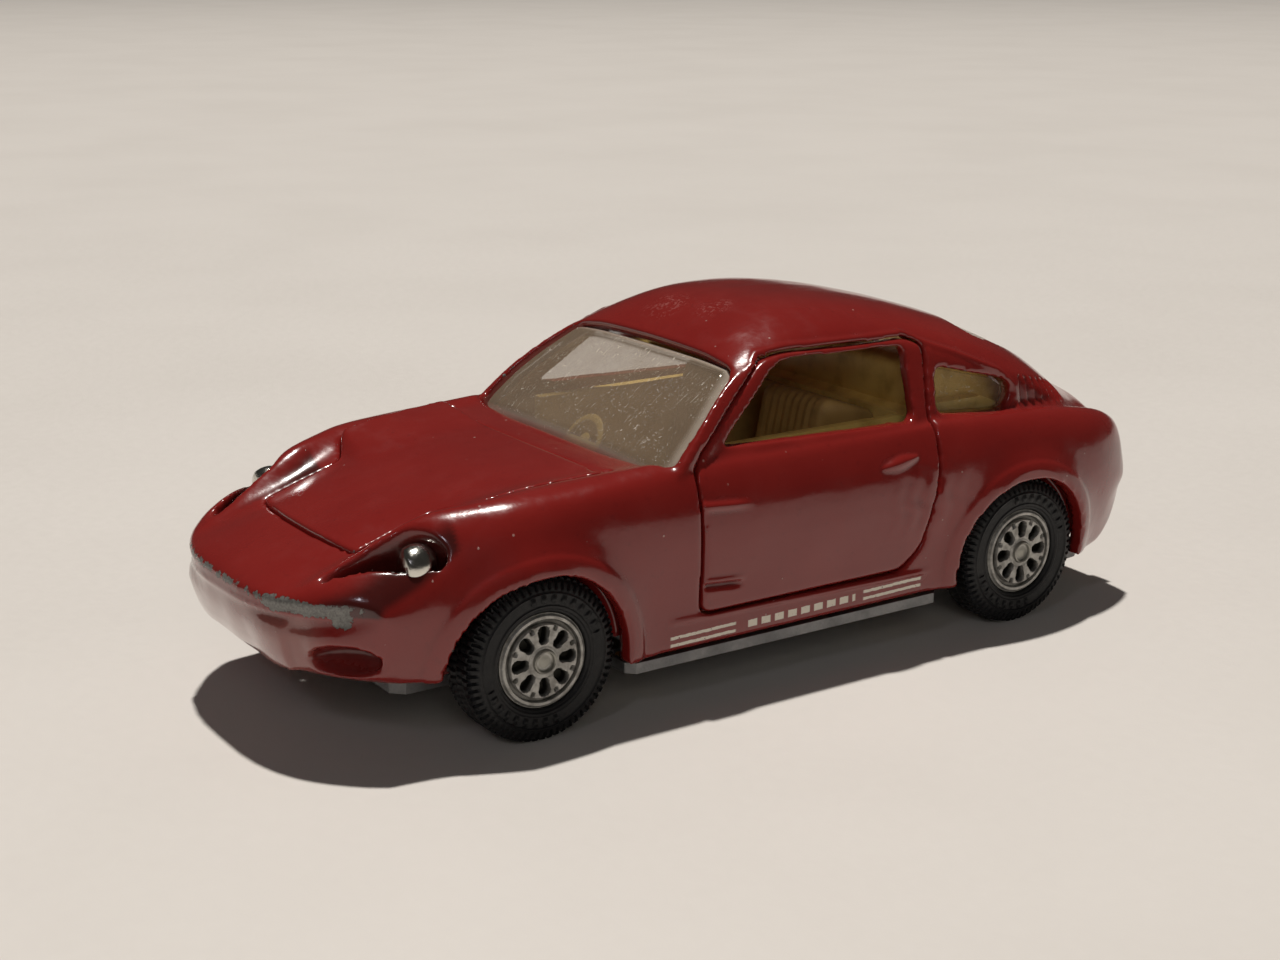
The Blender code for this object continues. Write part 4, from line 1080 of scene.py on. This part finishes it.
def hub(name, side, axle, metal):
    """Cast wheel: stepped rim, then a flat face with eight long slots round a ringed centre."""
    radii = refined((0.05, 0.95, 1.35, 2.75, 3.0, 3.35, 3.86), HUB_STEP)
    face = TYRE_OUTER - 0.12
    section = radii + [3.86, 1.1, 0.05]

    def height(radius, a):
        turn = math.tau / 8
        off = (a + turn / 2) % turn - turn / 2
        along, across = radius * math.cos(off), radius * math.sin(off)
        reach = max(abs(along - 2.02) - 0.3, 0.0)
        half = 0.30 + 0.14 * (radius - 1.7)
        slot = 1 - smoothstep(math.hypot(reach, across), half, half + 0.13)
        between = (a % turn) - turn / 2
        notch = (1 - smoothstep(math.hypot((radius - 2.78) * 0.9, radius * math.sin(between)), 0.12, 0.24))
        depth = 0.95 * slot + 0.35 * notch * (radius > 2.4)
        depth += 0.42 * (smoothstep(radius, 2.98, 3.06) - smoothstep(radius, 3.3, 3.42) * 0.75)
        depth += 0.2 * smoothstep(radius, 3.62, 3.8)
        depth += 0.05 * bell(radius - 1.3, 0.2)
        return face - depth

    def shape(i, a):
        radius = section[i]
        if i < len(radii):
            return side * height(radius, a), radius
        return side * (TYRE_INNER + 0.3), radius

    obj = on_axle(turned_grid(section, HUB_TURNS, shape), axle)
    finished(obj, f"hub_casting_{name}", metal, f"wheel_{name}", f"hub_{name}", 40)


def axle_cap(name, side, axle, metal):
    """Stub axle whose outer end is a ringed cap in the middle of the wheel."""
    face = TYRE_OUTER - 0.08
    cap = [(-0.6, 0.8), (-0.55, 1.02), (0.08, 1.02), (0.2, 0.96), (0.24, 0.88), (0.2, 0.8), (-0.02, 0.74),
           (-0.06, 0.6), (0.02, 0.3), (0.05, 0)]
    profile = [(6.6, 0), (6.6, 0.5), (7.2, 0.8)] + [(face + out, radius) for out, radius in cap]
    mesh = lathe_mesh([(side * a, r) for a, r in profile], (0, axle, TYRE_RADIUS), "X", 48)
    obj = scratch(mesh)
    finished(obj, f"axle_cap_{name}", metal, f"stub_{name}", f"stub_{name}", 35)


# ---- lamps and trim ----
def headlamp(name, side, metal):
    """Bright jewel: a ball with its front drawn in to a point, turned a little outwards."""
    cx, cy, cz = HEADLAMP_PLACE
    mesh = bmesh.new()
    bmesh.ops.create_uvsphere(mesh, u_segments=48, v_segments=32, radius=1.0)
    for vertex in mesh.verts:
        x, y, z = vertex.co
        front = max(0.0, -y - 0.55)
        y += front * 0.55
        vertex.co = (side * cx + x * 1.65, cy + y * 1.75 - 0.3 * x * side, cz + z * 1.65)
    obj = scratch(mesh)
    finished(obj, f"headlamp_jewel_{name}", metal, "chassis", f"headlamp_{name}")


def tail_lamp(name, side, plastic, metal):
    """Round domed lens in a bright ring."""
    lens = lathe_mesh([(40.7, 0), (40.7, 0.95), (41.7, 0.95), (41.95, 0.8), (42.08, 0.45), (42.12, 0)],
                      (side * TAIL_LAMP_X, 0, TAIL_LAMP_Z), "Y", 40)
    finished(scratch(lens), f"tail_lens_{name}", plastic, "chassis", f"tail_lamp_{name}", 60)
    ring = lathe_mesh([(40.7, 0.98), (41.95, 0.98), (42.1, 1.05), (42.14, 1.15), (42.05, 1.25), (40.7, 1.25)],
                      (side * TAIL_LAMP_X, 0, TAIL_LAMP_Z), "Y", 40)
    finished(scratch(ring), f"tail_bezel_{name}", metal, "chassis", None, 60)


def number_plate(mat):
    """Blank plate with a raised border."""
    plate = scratch(box_mesh((-4.15, 41.6, 8.95), (4.15, 42.1, 10.85)))
    cut(plate, box_mesh((-3.85, 42.0, 9.2), (3.85, 43.0, 10.6)))
    softened(plate, 0.06)
    finished(plate, "rear_plate", mat, "chassis", "number_plate", 40)


# ---- inside ----
PLEAT_PITCH = 0.95


def pleated(points, normals):
    """Pleats down the seat's cushion and back, between its plain sides."""
    x, _, z = points.T
    ribs = 0.5 + 0.5 * np.cos(x * math.tau / PLEAT_PITCH)
    soft = smoothstep(np.abs(normals[:, 0]), 0.6, 0.3) * smoothstep(np.abs(x), 2.4, 3.0)
    soft *= smoothstep(-np.abs(x), -10.1, -9.5)
    return -0.16 * (1 - ribs) ** 2 * soft * (z > 10.2)


def seat(name, side, plastic):
    """Moulded seat with pleats down its cushion and back."""
    outline = rounded([(-1.5, 7.7), (12.6, 7.7), (13.5, 19.2), (13.1, 20.3), (8.0, 22.1), (7.1, 21.4),
                       (5.0, 11.4), (-1.8, 11.0)], 0.8, 4)
    chair = scratch(prism_mesh(outline, "X", *span(side, 1.95, 10.55)))
    remeshed(chair, 0.24)
    relaxed(chair, 6)
    displaced(chair, pleated)
    finished(chair, f"seat_moulding_{name}", plastic, "chassis", f"seat_{name}")


def interior_tub(plastic):
    """Floor, sides, tunnel and the sloping block and shelf behind the seats, as one moulding."""
    side = [(-13.0, 6.2), (17.6, 6.2), (17.6, 9.5), (18.8, 19.0), (24.0, 19.0), (31.3, 16.4), (31.5, 17.6),
            (24.0, 20.6), (17.2, 20.6), (16.0, 20.0), (-8.2, 20.0), (-8.2, 13.0), (-13.0, 13.0)]
    tub = scratch(prism_mesh(side, "X", -12.4, 12.4))
    block = [(16.4, 19.8), (24.0, 19.8), (30.6, 17.0), (30.8, 18.9), (24.0, 23.2), (18.0, 24.4), (16.6, 24.0)]
    join(tub, prism_mesh(rounded(block, 1.2, 5), "X", -11.0, 11.0))
    shelf = [(31.0, 16.4), (35.6, 15.7), (36.2, 16.7), (31.0, 17.6)]
    join(tub, prism_mesh(shelf, "X", -9.5, 9.5))
    cut(tub, box_mesh((-11.4, -12.0, 7.3), (11.4, 15.0, 23.5)))
    join(tub, box_mesh((-1.3, -11.0, 7.0), (1.3, 9.0, 9.0)))
    softened(tub, 0.25)
    finished(tub, "tub_moulding", plastic, "chassis", "interior_tub", 40)


COLUMN_TOP = Vector((-6.4, -6.9, 16.6))
COLUMN_TILT = math.radians(58)


def on_column(mesh):
    """Moves a mesh made flat about its own middle to the top of the steering column."""
    turn = Matrix(((1, 0, 0), (0, math.cos(COLUMN_TILT), math.sin(COLUMN_TILT)),
                   (0, math.sin(COLUMN_TILT), math.cos(COLUMN_TILT))))
    for vertex in mesh.verts:
        vertex.co = turn @ vertex.co + COLUMN_TOP
    return mesh


def ring_mesh(major, minor, turns=72, sides=14):
    """Round bar bent into a flat ring."""
    mesh = bmesh.new()
    rings = []
    for a in (math.tau * k / turns for k in range(turns)):
        ring = []
        for b in (math.tau * j / sides for j in range(sides)):
            reach = major + minor * math.cos(b)
            ring.append(mesh.verts.new((reach * math.cos(a), reach * math.sin(a), minor * math.sin(b))))
        rings.append(ring)
    for here, after in zip(rings, rings[1:] + rings[:1]):
        band(mesh, here, after)
    return mesh


def steering_wheel(plastic):
    """Rim, three spokes and a boss."""
    wheel = scratch(on_column(ring_mesh(2.5, 0.27)))
    for degrees in (0, 180, 270):
        spoke = box_mesh((0.0, -0.28, -0.14), (2.5, 0.28, 0.14))
        turn = Matrix.Rotation(math.radians(degrees), 4, "Z")
        bmesh.ops.transform(spoke, matrix=turn, verts=spoke.verts)
        join(wheel, on_column(spoke))
    boss = lathe_mesh([(-1.3, 0), (-1.3, 0.5), (0.1, 0.55), (0.2, 0.75), (0.38, 0.72), (0.5, 0.4), (0.52, 0)],
                      (0, 0, 0), "Z", 32)
    join(wheel, on_column(boss))
    finished(wheel, "steering_rim", plastic, "chassis", "steering_wheel", 45)


def dashboard(plastic):
    """Dark panel with two large dials and three small ones sunk into it."""
    outline = rounded([(-12.6, 13.4), (-9.6, 14.2), (-8.6, 15.0), (-8.9, 17.3), (-10.6, 18.0),
                       (-12.6, 17.2)], 0.5, 5)
    panel = scratch(prism_mesh(outline, "X", -11.0, 11.0))
    for x, radius in ((-7.5, 0.75), (-5.3, 0.75), (-1.6, 0.5), (0.0, 0.5), (1.6, 0.5)):
        cut(panel, rod_mesh((x, 0, 16.2), "Y", radius, -9.0, -6.0, 24))
    softened(panel, 0.08, 2)
    finished(panel, "dash_panel", plastic, "chassis", "dashboard", 40)


# ---- under the bonnet and under the car ----
def engine(metal, dark):
    """Engine with its plugs and bolts, a round air filter lying beside it, and a finned radiator."""
    block = scratch(box_mesh((-4.1, -33.0, 5.0), (4.1, -22.5, 11.3)))
    join(block, box_mesh((-2.4, -32.2, 10.0), (2.4, -23.3, 12.6)))
    join(block, box_mesh((-5.5, -29.0, 5.2), (5.5, -21.0, 7.4)))
    softened(block, 0.3)
    for k in range(4):
        y = -31.0 + 2.2 * k
        join(block, rod_mesh((0, y, 9.4), "X", 0.65, -5.2, -3.5, 24))
        join(block, rod_mesh((0, y, 9.4), "X", 0.45, 3.5, 5.2, 24))
        join(block, rod_mesh((1.5 if k % 2 else -1.5, y, 0), "Z", 0.45, 12.0, 12.88, 6))
    finished(block, "engine_casting", metal, "chassis", "engine_block", 40)
    drum = lathe_mesh([(-29.5, 0), (-29.5, 0.5), (-29.3, 1.5), (-29.1, 1.7), (-27.0, 1.7), (-26.9, 1.6),
                       (-26.2, 1.6), (-26.1, 1.7), (-23.8, 1.7), (-23.6, 1.5), (-23.5, 0.5), (-23.5, 0)],
                      (6.6, 0, 11.6), "Y", 40)
    finished(scratch(drum), "air_filter", dark, "chassis", "air_cleaner", 50)
    core = scratch(box_mesh((-6.5, -36.2, 6.9), (6.5, -34.6, 12.2)))
    for k in range(17):
        x = -5.6 + 0.7 * k
        cut(core, box_mesh((x - 0.18, -34.85, 7.6), (x + 0.18, -34.0, 11.4)))
    softened(core, 0.05, 2)
    finished(core, "radiator_core", dark, "chassis", "radiator", 40)


def softened_node(node, mat, width=0.12):
    """A CAD node that keeps its own mesh, with softer edges and a worked material."""
    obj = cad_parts[node]
    bevel(obj, width * MM, 2).angle_limit = math.radians(35)
    for slot in obj.material_slots:
        slot.material = mat


# ---- materials ----
class Value:
    """A number that nodes work out; arithmetic on it adds the nodes for the result."""

    def __init__(self, shader, socket):
        self.shader = shader
        self.socket = socket

    def __add__(self, other):
        return self.shader.math("ADD", self, other)

    def __sub__(self, other):
        return self.shader.math("SUBTRACT", self, other)

    def __mul__(self, other):
        return self.shader.math("MULTIPLY", self, other)

    def __abs__(self):
        return self.shader.math("ABSOLUTE", self)

    def __or__(self, other):
        """The larger of the two."""
        return self.shader.math("MAXIMUM", self, other)

    def step(self, low, high, to_low=0.0, to_high=1.0):
        """Smooth step from to_low, at low, to to_high, at high."""
        inputs = {"Value": self, "From Min": low, "From Max": high, "To Min": to_low, "To Max": to_high}
        return self.shader.value("ShaderNodeMapRange", inputs, interpolation_type="SMOOTHSTEP")


class Shader:
    """A Principled material and short ways to wire nodes into it."""

    def __init__(self, name, **values):
        self.mat = bpy.data.materials.new(name)
        self.mat.use_nodes = True
        self.tree = self.mat.node_tree
        self.out = self.tree.nodes["Principled BSDF"]
        self.where = self.add("ShaderNodeTexCoord").outputs["Object"]
        for key, value in values.items():
            self.out.inputs[key.replace("_", " ")].default_value = value

    def add(self, kind, inputs=(), **settings):
        node = self.tree.nodes.new(kind)
        for key, value in settings.items():
            setattr(node, key, value)
        for key, value in dict(inputs).items():
            self.put(node, key, value)
        return node

    def put(self, node, key, value):
        if isinstance(value, Value):
            value = value.socket
        if isinstance(value, bpy.types.NodeSocket):
            self.tree.links.new(value, node.inputs[key])
        else:
            node.inputs[key].default_value = value

    def set(self, key, value):
        self.put(self.out, key, value)

    def value(self, kind, inputs=(), output=0, **settings):
        return Value(self, self.add(kind, inputs, **settings).outputs[output])

    def math(self, operation, a, b=0.0, clamp=False):
        return self.value("ShaderNodeMath", {0: a, 1: b}, operation=operation, use_clamp=clamp)

    def noise(self, per_mm, detail=3.0, rough=0.55, warp=0.0, stretch=None):
        """Noise with the given number of features to a millimetre."""
        where = self.where
        if stretch:
            scale, turn = stretch
            where = self.value("ShaderNodeMapping", {"Vector": where, "Scale": scale, "Rotation": turn})
        inputs = {"Vector": where, "Scale": per_mm / MM, "Detail": detail, "Roughness": rough,
                  "Distortion": warp}
        return self.value("ShaderNodeTexNoise", inputs)

    def cells(self, per_mm, random=1.0):
        """Distance to the nearest of a scatter of points, this many to a millimetre."""
        inputs = {"Vector": self.where, "Scale": per_mm / MM, "Randomness": random}
        return self.value("ShaderNodeTexVoronoi", inputs, "Distance")

    def painted(self, name):
        """One of the point attributes that wear() leaves on a mesh."""
        return self.value("ShaderNodeAttribute", (), "Fac", attribute_name=name)

    def mix(self, share, a, b):
        a, b = ((*colour, 1.0) if isinstance(colour, tuple) else colour for colour in (a, b))
        return self.value("ShaderNodeMix", {0: share, 6: a, 7: b}, 2, data_type="RGBA")

    def bump(self, height, depth_mm, below=None):
        inputs = {"Height": height, "Strength": 1.0, "Distance": depth_mm * MM}
        if below:
            inputs["Normal"] = below
        return self.value("ShaderNodeBump", inputs)

    def skin(self, colour, roughness, height, depth_mm, below=None):
        """Wires the colour, the roughness and the bumps, and gives the finished material."""
        self.set("Base Color", colour)
        self.set("Roughness", roughness)
        self.set("Normal", self.bump(height, depth_mm, below))
        return self.mat


MAROON = (0.196, 0.0120, 0.0100)
MAROON_LIGHT = (0.212, 0.0142, 0.0116)
MAROON_DEEP = (0.095, 0.007, 0.007)
CORNER_DIRT_AND_SHADE = (0.028, 0.006, 0.006)
SHADED_PAINT = (0.022, 0.006, 0.005)
SCUFFED_PAINT = (0.36, 0.12, 0.10)
NOSE_SHEEN_PAINT = (0.34, 0.21, 0.18)
PAINT_FLAKE = (0.50, 0.30, 0.26)
STRIPE_CREAM = (0.72, 0.65, 0.54)
ZINC = (0.20, 0.195, 0.18)
ZINC_DARK = (0.10, 0.095, 0.088)


def enamel(name, striped=False):
    """Thick maroon enamel: orange peel, dust specks, knocks and rubbed edges that show the zinc; concave
    corners darkened with grime and painted shade, the lamp scoops darkened with painted shade, and the nose's
    lower front paled with a painted sheen.
    """
    s = Shader(name, Coat_Roughness=0.07, Specular_IOR_Level=0.5)
    edge, corner, knocked = s.painted("edge"), s.painted("corner"), s.painted("knocked")
    broad = s.noise(0.12, 2)
    ragged = s.noise(1.3, 6, 0.65)
    fine = s.noise(5.0, 4, 0.7)
    rubbed = edge.step(0.25, 0.85) * broad.step(0.42, 0.62)
    chip = (ragged + (rubbed * 0.34 + knocked * 0.52)).step(0.88, 0.905)
    flake = s.cells(0.62).step(0.075, 0.05) * s.noise(0.35, 2).step(0.50, 0.60)
    long = s.noise(1.0, 5, 0.6, 0.4, stretch=((1.0, 0.12, 1.0), (0.4, 0.2, 0.7)))
    short = s.noise(1.6, 5, 0.65, 1.5)
    scuff = long.step(0.70, 0.76) * broad.step(0.55, 0.75)
    scuff = scuff | short.step(0.52, 0.60) * s.painted("scuffed").step(0.1, 0.8)
    x, y, z = places(s)
    front = y.step(-40.6, -42.4) * z.step(12.0, 11.2)
    paint = s.mix(broad.step(0.35, 0.7), MAROON, MAROON_LIGHT)
    # Concave corners darkened toward near black: some grime, and painted shade where the corners fall in
    # shadow.
    paint = s.mix(corner * 0.75, paint, CORNER_DIRT_AND_SHADE)
    paint = s.mix(ragged.step(0.55, 0.75) * 0.25, paint, MAROON_DEEP)
    paint = s.mix(scuff * 0.22, paint, SCUFFED_PAINT)
    paint = s.mix(s.painted("shade") * 0.8, paint, SHADED_PAINT)
    # Painted reflection: the nose's lower front is paled toward a pink grey, a sheen painted into the paint
    # colour.
    paint = s.mix(front * 0.30, paint, NOSE_SHEEN_PAINT)
    if striped:
        paint = s.mix(stripes(s, x, y, z), paint, STRIPE_CREAM)
    colour = s.mix(chip, paint, s.mix(fine.step(0.35, 0.7), ZINC, ZINC_DARK))
    colour = s.mix(flake * 0.8, colour, PAINT_FLAKE)
    dull = s.noise(0.5, 4).step(0.4, 0.75) * 0.10 + (chip | (scuff | corner)) * 0.3
    s.set("Coat Weight", front * 0.5 + 0.45)
    s.set("Metallic", chip * 0.35)
    peel = s.bump(s.noise(0.75, 2) + s.noise(0.22, 1) * 1.6, 0.028)
    return s.skin(colour, dull + 0.17, chip * -1.0 + flake * 0.5 + fine * 0.08, 0.07, peel)


def places(s):
    """The point's x, y and z as millimetre values of the curves above."""
    xyz = s.add("ShaderNodeSeparateXYZ", {0: s.where}).outputs
    x, y, z = (Value(s, socket) * (1 / MM) for socket in xyz)
    return x, y + -CENTRE_Y, z


def stripes(s, x, y, z):
    """Where the sill is marked: two thin lines, joined by a row of plain dashes, all a little worn."""
    ragged = (s.noise(2.5, 3) - 0.5) * 0.14
    away = abs(z - (y * 0.012 + 5.98) + ragged)
    line = away.step(0.16, 0.21) * away.step(0.47, 0.42)
    ends = abs(y - 0.2)
    line *= ends.step(6.7, 6.9) * ends.step(13.4, 13.2)
    beat = abs(s.math("FRACT", y * 0.72) - 0.5)
    dash = beat.step(0.36, 0.31) * away.step(0.34, 0.28) * ends.step(6.0, 5.8)
    return (line | dash) * (abs(x).step(15.5, 15.8) * s.noise(3.0, 4).step(0.30, 0.36))


def bare_zinc():
    """Dull grey casting, a little blotched."""
    s = Shader("zinc_cast", Metallic=0.85)
    grain, patch = s.noise(3.5, 5, 0.65), s.noise(0.3, 3)
    colour = s.mix(patch.step(0.3, 0.7), (0.17, 0.17, 0.175), (0.27, 0.27, 0.27))
    return s.skin(colour, grain.step(0.2, 0.8, 0.38, 0.62), grain + s.noise(0.9, 3), 0.035)


def cast_silver():
    """Dull silver, coloured near black away from the wheel's face: painted shade in the slots and behind the
    face.
    """
    s = Shader("wheel_cast", Metallic=0.75)
    grain, patch = s.noise(4.5, 4, 0.7), s.noise(1.1, 4)
    near_face = abs(places(s)[0]).step(TYRE_OUTER - 0.75, TYRE_OUTER - 0.2)
    face = s.mix(patch.step(0.35, 0.7), (0.50, 0.49, 0.46), (0.26, 0.25, 0.23))
    # Painted shade: away from the face, in the slots and behind it, the metal is coloured near black.
    colour = s.mix(near_face, (0.035, 0.033, 0.027), face)
    return s.skin(colour, grain.step(0.2, 0.8, 0.34, 0.58), grain + patch, 0.04)


def rubber():
    """Black rubber with a little dust in patches."""
    s = Shader("tyre_rubber", Specular_IOR_Level=0.35)
    fine, dust = s.noise(4.0, 5, 0.7), s.noise(0.6, 4, 0.6)
    specks = s.cells(1.1).step(0.06, 0.03)
    colour = s.mix(dust.step(0.5, 0.75), (0.0055, 0.0055, 0.0062), (0.013, 0.0125, 0.0125))
    return s.skin(colour, fine.step(0.2, 0.8, 0.38, 0.56) - specks * 0.2, fine + specks * 0.7, 0.03)


def clear_plastic(name, haze):
    """Hazed clear moulding with short scratches that catch the light, and a painted highlight: paler and more
    opaque along its rim.
    """
    s = Shader(name, Specular_IOR_Level=0.75, Coat_Weight=0.6, Coat_Roughness=0.05)
    short = s.noise(2.4, 5, 0.62, 1.2).step(0.60, 0.66)
    long = s.noise(1.2, 3, 0.6, 0.2, stretch=((6.0, 0.6, 0.6), (0.3, 0.5, 0.6))).step(0.66, 0.70)
    marks = short * s.noise(0.35, 3).step(0.38, 0.55) | long
    smear = s.noise(0.2, 3).step(0.35, 0.75)
    rim = s.painted("rim")
    turned = s.value("ShaderNodeLayerWeight", {"Blend": 0.35}, "Facing")
    # Painted highlight: along the rim the pane is made paler and more opaque, for the light in its bevelled
    # edge.
    around = turned.step(0.25, 0.95) + rim.step(0.35, 0.9) * 0.9
    s.set("Alpha", s.math("ADD", marks * 0.22 + haze + smear * 0.10, around * 0.35, clamp=True))
    colour = s.mix(marks | rim.step(0.3, 0.8) * 0.7, (0.30, 0.225, 0.155), (0.76, 0.68, 0.57))
    return s.skin(colour, marks * 0.25 + smear * 0.10, marks * 0.5 + s.noise(0.35, 2), 0.03)


def moulded(name, colour, deep, low=0.36, high=0.52):
    """Moulded plastic: faint mottling, a satin skin and grime in places."""
    s = Shader(name, Specular_IOR_Level=0.5)
    grain, patch = s.noise(3.0, 4, 0.6), s.noise(0.35, 4, 0.6)
    mottled = s.mix(patch.step(0.42, 0.78), colour, deep)
    return s.skin(mottled, grain.step(0.2, 0.8, low, high), grain + s.noise(0.8, 2), 0.02)


def plated(name, colour, low, high, metallic=1.0):
    """Thin plating, worn darker in patches."""
    s = Shader(name, Metallic=metallic)
    grain, patch = s.noise(2.5, 5, 0.65), s.noise(0.8, 4, 0.6)
    worn = s.mix(patch.step(0.55, 0.72), colour, tuple(c * 0.55 for c in colour))
    return s.skin(worn, grain.step(0.2, 0.8, low, high), grain + patch * 2.0, 0.025)


def lens_red():
    """Glossy deep red moulding with a ribbed face."""
    s = Shader("lens_red", Coat_Weight=0.8, Coat_Roughness=0.05)
    ribs = s.cells(1.6, 0.2)
    colour = s.mix(s.noise(1.0, 3).step(0.4, 0.7), (0.30, 0.008, 0.008), (0.16, 0.004, 0.004))
    return s.skin(colour, ribs.step(0.0, 0.6, 0.12, 0.3), ribs, 0.08)


def floor_finish():
    """Plain pale table top."""
    s = Shader("pale_table", Specular_IOR_Level=0.35)
    colour = s.mix(s.noise(0.02, 4).step(0.3, 0.8), (0.66, 0.625, 0.585), (0.63, 0.595, 0.555))
    return s.skin(colour, s.noise(0.8, 3).step(0.2, 0.8, 0.42, 0.5), s.noise(1.2, 3), 0.01)


# ---- the scene round the car ----
CAMERA_PLACE = (0.140737, -0.097195, 0.061427)
CAMERA_TURN = (math.radians(74.393), 0.0, math.radians(56.394))
CAMERA_LENS = 55.63
AIM = Vector((0, 0, 0.01))  # where the lamps point
FLOOR_HALF_WIDTH = 6.0


def camera():
    """Looks at the car from its front left and a little above, as the photograph does."""
    data = bpy.data.cameras.new("camera")
    data.sensor_width = 36.0
    data.lens = CAMERA_LENS
    data.clip_start = 0.005
    obj = bpy.data.objects.new("camera", data)
    obj.location = CAMERA_PLACE
    obj.rotation_euler = CAMERA_TURN
    bpy.context.scene.collection.objects.link(obj)
    bpy.context.scene.camera = obj


def lamp(name, place, size, power, colour, mirrored_in_paint=True):
    """Soft light aimed at the car: a disk of one size, or a rectangle of two."""
    data = bpy.data.lights.new(name, "AREA")
    data.shape = "DISK" if len(size) == 1 else "RECTANGLE"
    data.size, data.size_y = size[0], size[-1]
    data.energy = power
    data.color = colour
    obj = bpy.data.objects.new(name, data)
    obj.location = place
    obj.visible_glossy = mirrored_in_paint
    obj.rotation_euler = (AIM - Vector(place)).to_track_quat("-Z", "Y").to_euler()
    bpy.context.scene.collection.objects.link(obj)


def studio():
    """Pale floor, dim even surroundings, a high key light and two weak ones in front."""
    mesh = bmesh.new()
    bmesh.ops.create_grid(mesh, x_segments=8, y_segments=8, size=FLOOR_HALF_WIDTH)
    floor = scratch(mesh, "floor")
    floor.data.materials.append(floor_finish())
    world = bpy.data.worlds.new("studio")
    world.use_nodes = True
    background = world.node_tree.nodes["Background"]
    background.inputs["Color"].default_value = (0.30, 0.285, 0.26, 1)
    background.inputs["Strength"].default_value = 0.10
    bpy.context.scene.world = world
    lamp("key", (-0.60, 0.30, 3.1), (0.13,), 110.0, (1.0, 0.962, 0.915))
    lamp("front_fill", (0.62, -0.30, 0.35), (0.30, 0.30), 0.55, (1.0, 0.97, 0.93), False)
    lamp("glint", (0.42, -0.62, 0.62), (0.05, 0.10), 0.30, (0.90, 0.88, 1.0))
    bpy.context.scene.view_settings.view_transform = "Standard"


def build():
    """Every piece of the car, with the materials they share."""
    body_shell(enamel("enamel_body", striped=True))
    door_paint = enamel("enamel_door")
    cream = moulded("cream_moulding", (0.86, 0.60, 0.17), (0.60, 0.39, 0.095))
    # Painted shade: the seats get a darker copy of the cream moulding, the cream as it looks in shadow.
    shaded_cream = moulded("cream_moulding_shaded", (0.42, 0.26, 0.085), (0.28, 0.165, 0.05))
    dark = moulded("black_moulding", (0.020, 0.019, 0.018), (0.035, 0.032, 0.029), 0.35, 0.55)
    bright = plated("bright_plating", (0.72, 0.70, 0.64), 0.10, 0.26)
    dull_plate = plated("engine_plating", (0.55, 0.55, 0.53), 0.20, 0.42)
    gold = plated("gold_plating", (0.66, 0.44, 0.15), 0.24, 0.40)
    cap_metal = plated("cap_metal", (0.36, 0.35, 0.31), 0.36, 0.55, 0.8)
    red = lens_red()
    pane_clear = clear_plastic("clear_screen", 0.35)
    side_clear = clear_plastic("clear_side", 0.07)
    wheel_metal, tyre_rubber, zinc = cast_silver(), rubber(), bare_zinc()
    for name, side in SIDES:
        door(name, side, door_paint)
        quarter_light(name, side, side_clear)
        seat(name, side, shaded_cream)
        headlamp(name, side, bright)
        tail_lamp(name, side, red, bright)
    bonnet(enamel("enamel_bonnet"))
    screen("front_pane", WINDSCREEN, WINDSCREEN_PLANE, pane_clear, "windscreen")
    screen("rear_pane", REAR_SCREEN, REAR_PLANE, side_clear, "rear_window")
    number_plate(dark)
    interior_tub(cream)
    steering_wheel(cream)
    dashboard(dark)
    engine(dull_plate, dark)
    for axle_name, axle in AXLES:
        for side_name, side in SIDES:
            name = f"{axle_name}_{side_name}"
            tyre(name, side, axle, tyre_rubber)
            hub(name, side, axle, wheel_metal)
            axle_cap(name, side, axle, cap_metal)
            softened_node(f"jack_{name}", gold, 0.08)
    softened_node("base_plate", zinc, 0.35)
    softened_node("rivet_front", zinc)
    softened_node("rivet_rear", zinc)


camera()
studio()
build()
